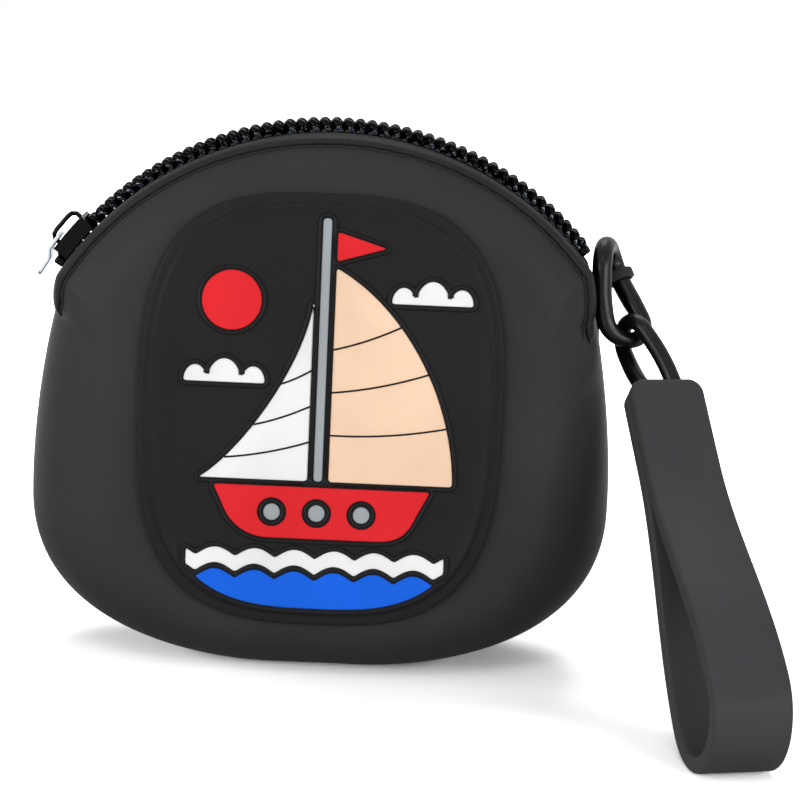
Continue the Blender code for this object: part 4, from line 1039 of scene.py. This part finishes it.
# Patch. A plate of soft PVC is moulded in one shot of black, with a stepped rim and a fine raised
# line round each field of colour, and is welded to the flat front.
PATCH_HALF_WIDTH = 36.5 * MM
PATCH_HALF_HEIGHT = 43.5 * MM
PATCH_HEAD_ROOM = 10.2 * MM
PATCH_MIDDLE = (ZIP_MIDDLE.z + RIM_R) / math.cos(FRONT_TILT) - PATCH_HEAD_ROOM - PATCH_HALF_HEIGHT
PATCH_SQUARENESS = 0.66
PATCH_POINTS = 192
PATCH_RIM = 2.2 * MM
PATCH_LOW = -0.4 * MM
PATCH_STEP = 1.5 * MM
PATCH_FACE = 1.9 * MM
PATCH_EDGE = 0.5 * MM
PATCH_DIP = 0.06 * MM
PATCH_CREASE = 0.1 * MM
PATCH_BEAD = 0.25 * MM
PATCH_BEAD_EDGE = 0.3 * MM
PATCH_BEAD_WIDTH = 0.9 * MM
PATCH_BEAD_SHOULDER = 0.2 * MM
PATCH_BEAD_FOOT = 1.3 * MM
PATCH_FLAT_INSET = 6.0 * MM
EDGE_STEPS = 5
FILL_FACE = 2.1 * MM
FILL_LOW = 1.0 * MM
FILL_EDGE = 0.22 * MM
LINE_WIDTH = 1.2 * MM
RIDGE_LIFT = 0.42 * MM
CORNER_EASE = 0.8 * MM
patch_rubber = moulded_rubber("soft_black_pvc", "202021", 0.42, 0.1)

patch_up = Vector((0.0, math.sin(FRONT_TILT), math.cos(FRONT_TILT)))
patch_out = Vector((0.0, -math.cos(FRONT_TILT), math.sin(FRONT_TILT)))
patch_place = Matrix((Vector((1.0, 0.0, 0.0)), patch_up, patch_out)).transposed().to_4x4()
patch_place.translation = Vector((0.0, -BASE_HALF_DEPTH, 0.0)) + patch_up * PATCH_MIDDLE


def patch_outline(inset):
    outline = []
    for k in range(PATCH_POINTS):
        turn = math.tau * k / PATCH_POINTS
        aside = math.copysign(abs(math.sin(turn)) ** PATCH_SQUARENESS, math.sin(turn))
        rise = math.copysign(abs(math.cos(turn)) ** PATCH_SQUARENESS, math.cos(turn))
        outline.append(Vector(((PATCH_HALF_WIDTH - inset) * aside, (PATCH_HALF_HEIGHT - inset) * rise)))
    return outline


def rounded_over(inset, low, high, edge):
    """Places (inset, height) up a wall and over its rounded edge."""
    over = [(inset, low)]
    for k in range(EDGE_STEPS + 1):
        turn = math.pi / 2 * k / EDGE_STEPS
        over.append((inset + edge * (1.0 - math.cos(turn)), high - edge + edge * math.sin(turn)))
    return over


levels = rounded_over(0.0, PATCH_LOW, PATCH_STEP, PATCH_EDGE)
levels += [(PATCH_RIM - PATCH_EDGE, PATCH_STEP - PATCH_DIP), (PATCH_RIM - PATCH_CREASE, PATCH_STEP)]
levels += rounded_over(PATCH_RIM, PATCH_STEP + PATCH_CREASE, PATCH_FACE + PATCH_BEAD, PATCH_BEAD_EDGE)
levels += [(PATCH_RIM + PATCH_BEAD_WIDTH, PATCH_FACE + PATCH_BEAD_SHOULDER),
           (PATCH_RIM + PATCH_BEAD_FOOT, PATCH_FACE), (PATCH_RIM + PATCH_FLAT_INSET, PATCH_FACE)]
rings = [[patch_place @ Vector((p.x, p.y, height)) for p in patch_outline(inset)]
         for inset, height in levels]
dressed(skinned("patch_plate", rings), patch_rubber, "pouch", "patch_rubber", "patch_base")


# Boat. The fields of colour are poured into the black plate: a sailing boat with a pennant, a sun,
# two clouds, foam and sea, in peach, white, grey, red and blue, each with a soft rounded edge.
DECK = -15.4 * MM
HULL_HALF = 21.0 * MM
HULL_DEPTH = 10.5 * MM
HULL_LIP_SHARE = 1.08
HULL_BOW_SHARES = ((0.95, 0.5), (0.85, 1.0), (0.7, 1.0), (0.5, 1.0))
HULL_STERN_SHARES = ((-0.45, 1.0), (-0.65, 1.0), (-0.8, 0.8), (-0.88, 0.5))
PORT_R = 1.7 * MM
PORT_STEP = 9.0 * MM
MAST_HALF = 0.9 * MM
MAST_TOP = 38.6 * MM
SAIL_REACH = 27.0 * MM
SAIL_RISE = 43.0 * MM
SAIL_BELLY_SHARES = ((0.98, 0.45), (0.55, 0.85))
JIB_REACH = 24.0 * MM
JIB_RISE = 36.0 * MM
JIB_BELLY_SHARES = ((0.17, 0.6), (0.7, 0.12))
FLAG_LENGTH = 10.0 * MM
FLAG_RISE = 6.0 * MM
FLAG_DROP = 2.6 * MM
FLAG_SHARES = ((0.0, 0.0), (1.0, 0.5), (0.0, 1.0))
SUN = (-18.5 * MM, 21.6 * MM, 6.0 * MM)
CLOUD = (21.5 * MM, 22.1 * MM)
LOW_CLOUD = (-19.5 * MM, 5.1 * MM)
PUFFS = (2.4 * MM, 3.4 * MM, 2.4 * MM)
PUFF_RISE_SHARE = 1.4
PUFF_STEPS = 16
PUFF_TRIM = 2
DISC_POINTS = 48
CURVE_STEPS = 24
CORNER_STEPS = 5
PLAIN_TURN = math.radians(24.0)
MITRE_LEAST = 0.7
SAME_SPOT = 1e-7
SEAM_SAG_SHARE = 0.06
SEAM_STEPS = 12
SEAM_SINK = 0.05 * MM
SEAM_HALF = 0.3 * MM
SEAM_RISE = 0.2 * MM
SEA_LEVEL = -34.4 * MM
WAVE_LENGTH = 8.0 * MM
WAVE_RISE = 1.8 * MM
WAVE_POINTS = 96
FOAM_HALF = 26.0 * MM
FOAM_WIDTH = 3.2 * MM
SEAM_SHARES = (0.22, 0.42, 0.62)
CLEAR = MAST_HALF + LINE_WIDTH
FOOT = DECK + LINE_WIDTH


def disc(x, y, radius):
    return [Vector((x + radius * math.cos(t), y + radius * math.sin(t)))
            for t in (math.tau * k / DISC_POINTS for k in range(DISC_POINTS))]


def curve_line(points):
    return [Vector(bezier(points, k / CURVE_STEPS)) for k in range(CURVE_STEPS + 1)]


def cloud(x, y):
    """A flat foot under a row of round puffs."""
    left = x - sum(PUFFS)
    outline = [Vector((left, y))]
    for size in PUFFS:
        for k in range(PUFF_TRIM, PUFF_STEPS - PUFF_TRIM + 1):
            turn = math.pi * (1.0 - k / PUFF_STEPS)
            rise = size * PUFF_RISE_SHARE * math.sin(turn)
            outline.append(Vector((left + size * (1.0 + math.cos(turn)), y + rise)))
        left += 2 * size
    outline.append(Vector((left, y)))
    return outline


def waves(half, y):
    line = []
    for k in range(WAVE_POINTS + 1):
        x = half * (2.0 * k / WAVE_POINTS - 1.0)
        line.append(Vector((x, y + WAVE_RISE * abs(math.sin(math.pi * x / WAVE_LENGTH)))))
    return line


def bend(one, pull, two, steps):
    """Places along a bend from one to two that leans towards the pull."""
    return [one * (1 - t) ** 2 + pull * 2 * t * (1 - t) + two * t * t
            for t in (k / steps for k in range(steps + 1))]


def eased(outline):
    """A closed outline with its sharp corners rounded off."""
    soft = []
    count = len(outline)
    for k, point in enumerate(outline):
        before = outline[k - 1] - point
        after = outline[(k + 1) % count] - point
        if min(before.length, after.length) < SAME_SPOT:
            continue
        if before.normalized().dot(-after.normalized()) > math.cos(PLAIN_TURN):
            soft.append(point)
            continue
        one = point + before.normalized() * min(CORNER_EASE, before.length / 2)
        two = point + after.normalized() * min(CORNER_EASE, after.length / 2)
        soft += bend(one, point, two, CORNER_STEPS)
    return soft


def drawn_out(outline, amount):
    """A closed outline moved outwards by an amount."""
    area = sum(a.x * b.y - b.x * a.y for a, b in zip(outline, outline[1:] + outline[:1]))
    way = 1.0 if area > 0 else -1.0
    moved = []
    for k, point in enumerate(outline):
        before = (point - outline[k - 1]).normalized()
        after = (outline[(k + 1) % len(outline)] - point).normalized()
        first = Vector((before.y, -before.x)) * way
        middle = first + Vector((after.y, -after.x)) * way
        moved.append(point + middle * (amount / max(MITRE_LEAST, middle.dot(first))))
    return moved


hull = [Vector((-HULL_HALF, DECK)), Vector((HULL_HALF * HULL_LIP_SHARE, DECK))]
for shares in (HULL_BOW_SHARES, HULL_STERN_SHARES):
    hull += curve_line([(HULL_HALF * along, DECK - HULL_DEPTH * down) for along, down in shares])
ports = [(PORT_STEP * k, DECK - HULL_DEPTH / 2) for k in (-1, 0, 1)]
sail_belly = [(SAIL_REACH * along, FOOT + SAIL_RISE * up) for along, up in SAIL_BELLY_SHARES]
leech = curve_line([(SAIL_REACH, FOOT), *sail_belly, (CLEAR, FOOT + SAIL_RISE)])
jib_belly = [(-JIB_REACH * along, FOOT + JIB_RISE * up) for along, up in JIB_BELLY_SHARES]
luff = curve_line([(-CLEAR, FOOT + JIB_RISE), *jib_belly, (-JIB_REACH, FOOT)])
flag_low = MAST_TOP - FLAG_DROP - FLAG_RISE
flag = [Vector((CLEAR + FLAG_LENGTH * out, flag_low + FLAG_RISE * up)) for out, up in FLAG_SHARES]
mast = [Vector((MAST_HALF * out, up))
        for out, up in ((-1, FOOT), (1, FOOT), (1, MAST_TOP), (-1, MAST_TOP))]
shore = [p for p in patch_outline(PATCH_RIM + LINE_WIDTH) if p.y < SEA_LEVEL]
shore_right = sorted((p for p in shore if p.x >= 0), key=lambda p: -p.y)
shore_left = sorted((p for p in shore if p.x < 0), key=lambda p: p.y)
foam_low = SEA_LEVEL + LINE_WIDTH
fields = [
    ("hull", "hull_inlay", "red", [hull] + [disc(x, y, PORT_R + LINE_WIDTH) for x, y in ports]),
    ("mast", "mast_inlay", "grey", [mast]),
    ("mainsail", "mainsail_inlay", "peach", [[Vector((CLEAR, FOOT))] + leech]),
    ("jib", "jib_inlay", "white", [[Vector((-CLEAR, FOOT))] + luff]),
    ("pennant", "pennant_inlay", "red", [flag]),
    ("sun", "sun_inlay", "red", [disc(*SUN)]),
    ("high_cloud", "cloud_inlay_1", "white", [cloud(*CLOUD)]),
    ("low_cloud", "cloud_inlay_2", "white", [cloud(*LOW_CLOUD)]),
    ("foam", "foam_inlay", "white", [waves(FOAM_HALF, foam_low)
                                     + waves(FOAM_HALF, foam_low + FOAM_WIDTH)[::-1]]),
    ("sea", "sea_inlay", "blue", [waves(shore_right[0].x, SEA_LEVEL) + shore_right + shore_left])]
fields += [("port_%d" % (k + 1), "porthole_inlay_%d" % (k + 1), "grey", [disc(x, y, PORT_R)])
           for k, (x, y) in enumerate(ports)]

pvc = {name: moulded_rubber("soft_%s_pvc" % name, code, 0.42, 0.2)
       for name, code in (("red", "E0262D"), ("peach", "F6D2B4"), ("white", "F0F0F0"),
                          ("grey", "A2A8AC"), ("blue", "1262E0"))}
ridge_tree, given = new_tree("raised_line", {"Half Width": LINE_WIDTH / 2, "Lift": RIDGE_LIFT})
ridge_line = add(ridge_tree, "GeometryNodeMeshToCurve", {"Mesh": given["Geometry"]})
ridge_round = add(ridge_tree, "GeometryNodeCurvePrimitiveCircle", {"Resolution": 16, "Radius": 1.0})
ridge_size = add(ridge_tree, "ShaderNodeCombineXYZ",
                 {"X": given["Half Width"], "Y": given["Lift"], "Z": 1.0})
ridge_shape = add(ridge_tree, "GeometryNodeTransform", {"Geometry": ridge_round, "Scale": ridge_size})
ridge_normal = add(ridge_tree, "GeometryNodeSetCurveNormal", {"Curve": ridge_line, "Normal": patch_out},
                   mode="FREE")
ridge = add(ridge_tree, "GeometryNodeCurveToMesh",
            {"Curve": ridge_normal, "Profile Curve": ridge_shape, "Fill Caps": True})
end_tree(ridge_tree, ridge, given["Material"])


def on_patch(outline, height):
    return [patch_place @ Vector((p[0], p[1], height)) for p in outline]


for name, node, colour, outlines in fields:
    soft = [eased(outlines[0])] + outlines[1:]
    fill = flat_moulding(name + "_fill", soft, FILL_LOW, FILL_FACE, FILL_EDGE, patch_place)
    dressed(fill, pvc[colour], "pouch", "inlay_" + colour, node)
    path = path_of(name + "_line", on_patch(drawn_out(soft[0], LINE_WIDTH / 2), PATCH_FACE), closed=True)
    dressed(grown_by(path, ridge_tree, patch_rubber), patch_rubber, "pouch", "patch_rubber")

sail_seams = [((CLEAR, FOOT + SAIL_RISE * share), leech[round(share * CURVE_STEPS)])
              for share in SEAM_SHARES]
sail_seams += [((-CLEAR, FOOT + JIB_RISE * share), luff[CURVE_STEPS - round(share * CURVE_STEPS)])
               for share in SEAM_SHARES]
for k, (one, two) in enumerate(sail_seams):
    one = Vector(one)
    sag = Vector((0.0, -SEAM_SAG_SHARE * (two - one).length))
    points = bend(one, (one + two) / 2 + sag, two, SEAM_STEPS)
    path = path_of("sail_seam_%d" % (k + 1), on_patch(points, FILL_FACE - SEAM_SINK))
    made = grown_by(path, ridge_tree, patch_rubber, **{"Half Width": SEAM_HALF, "Lift": SEAM_RISE})
    dressed(made, patch_rubber, "pouch", "patch_rubber")
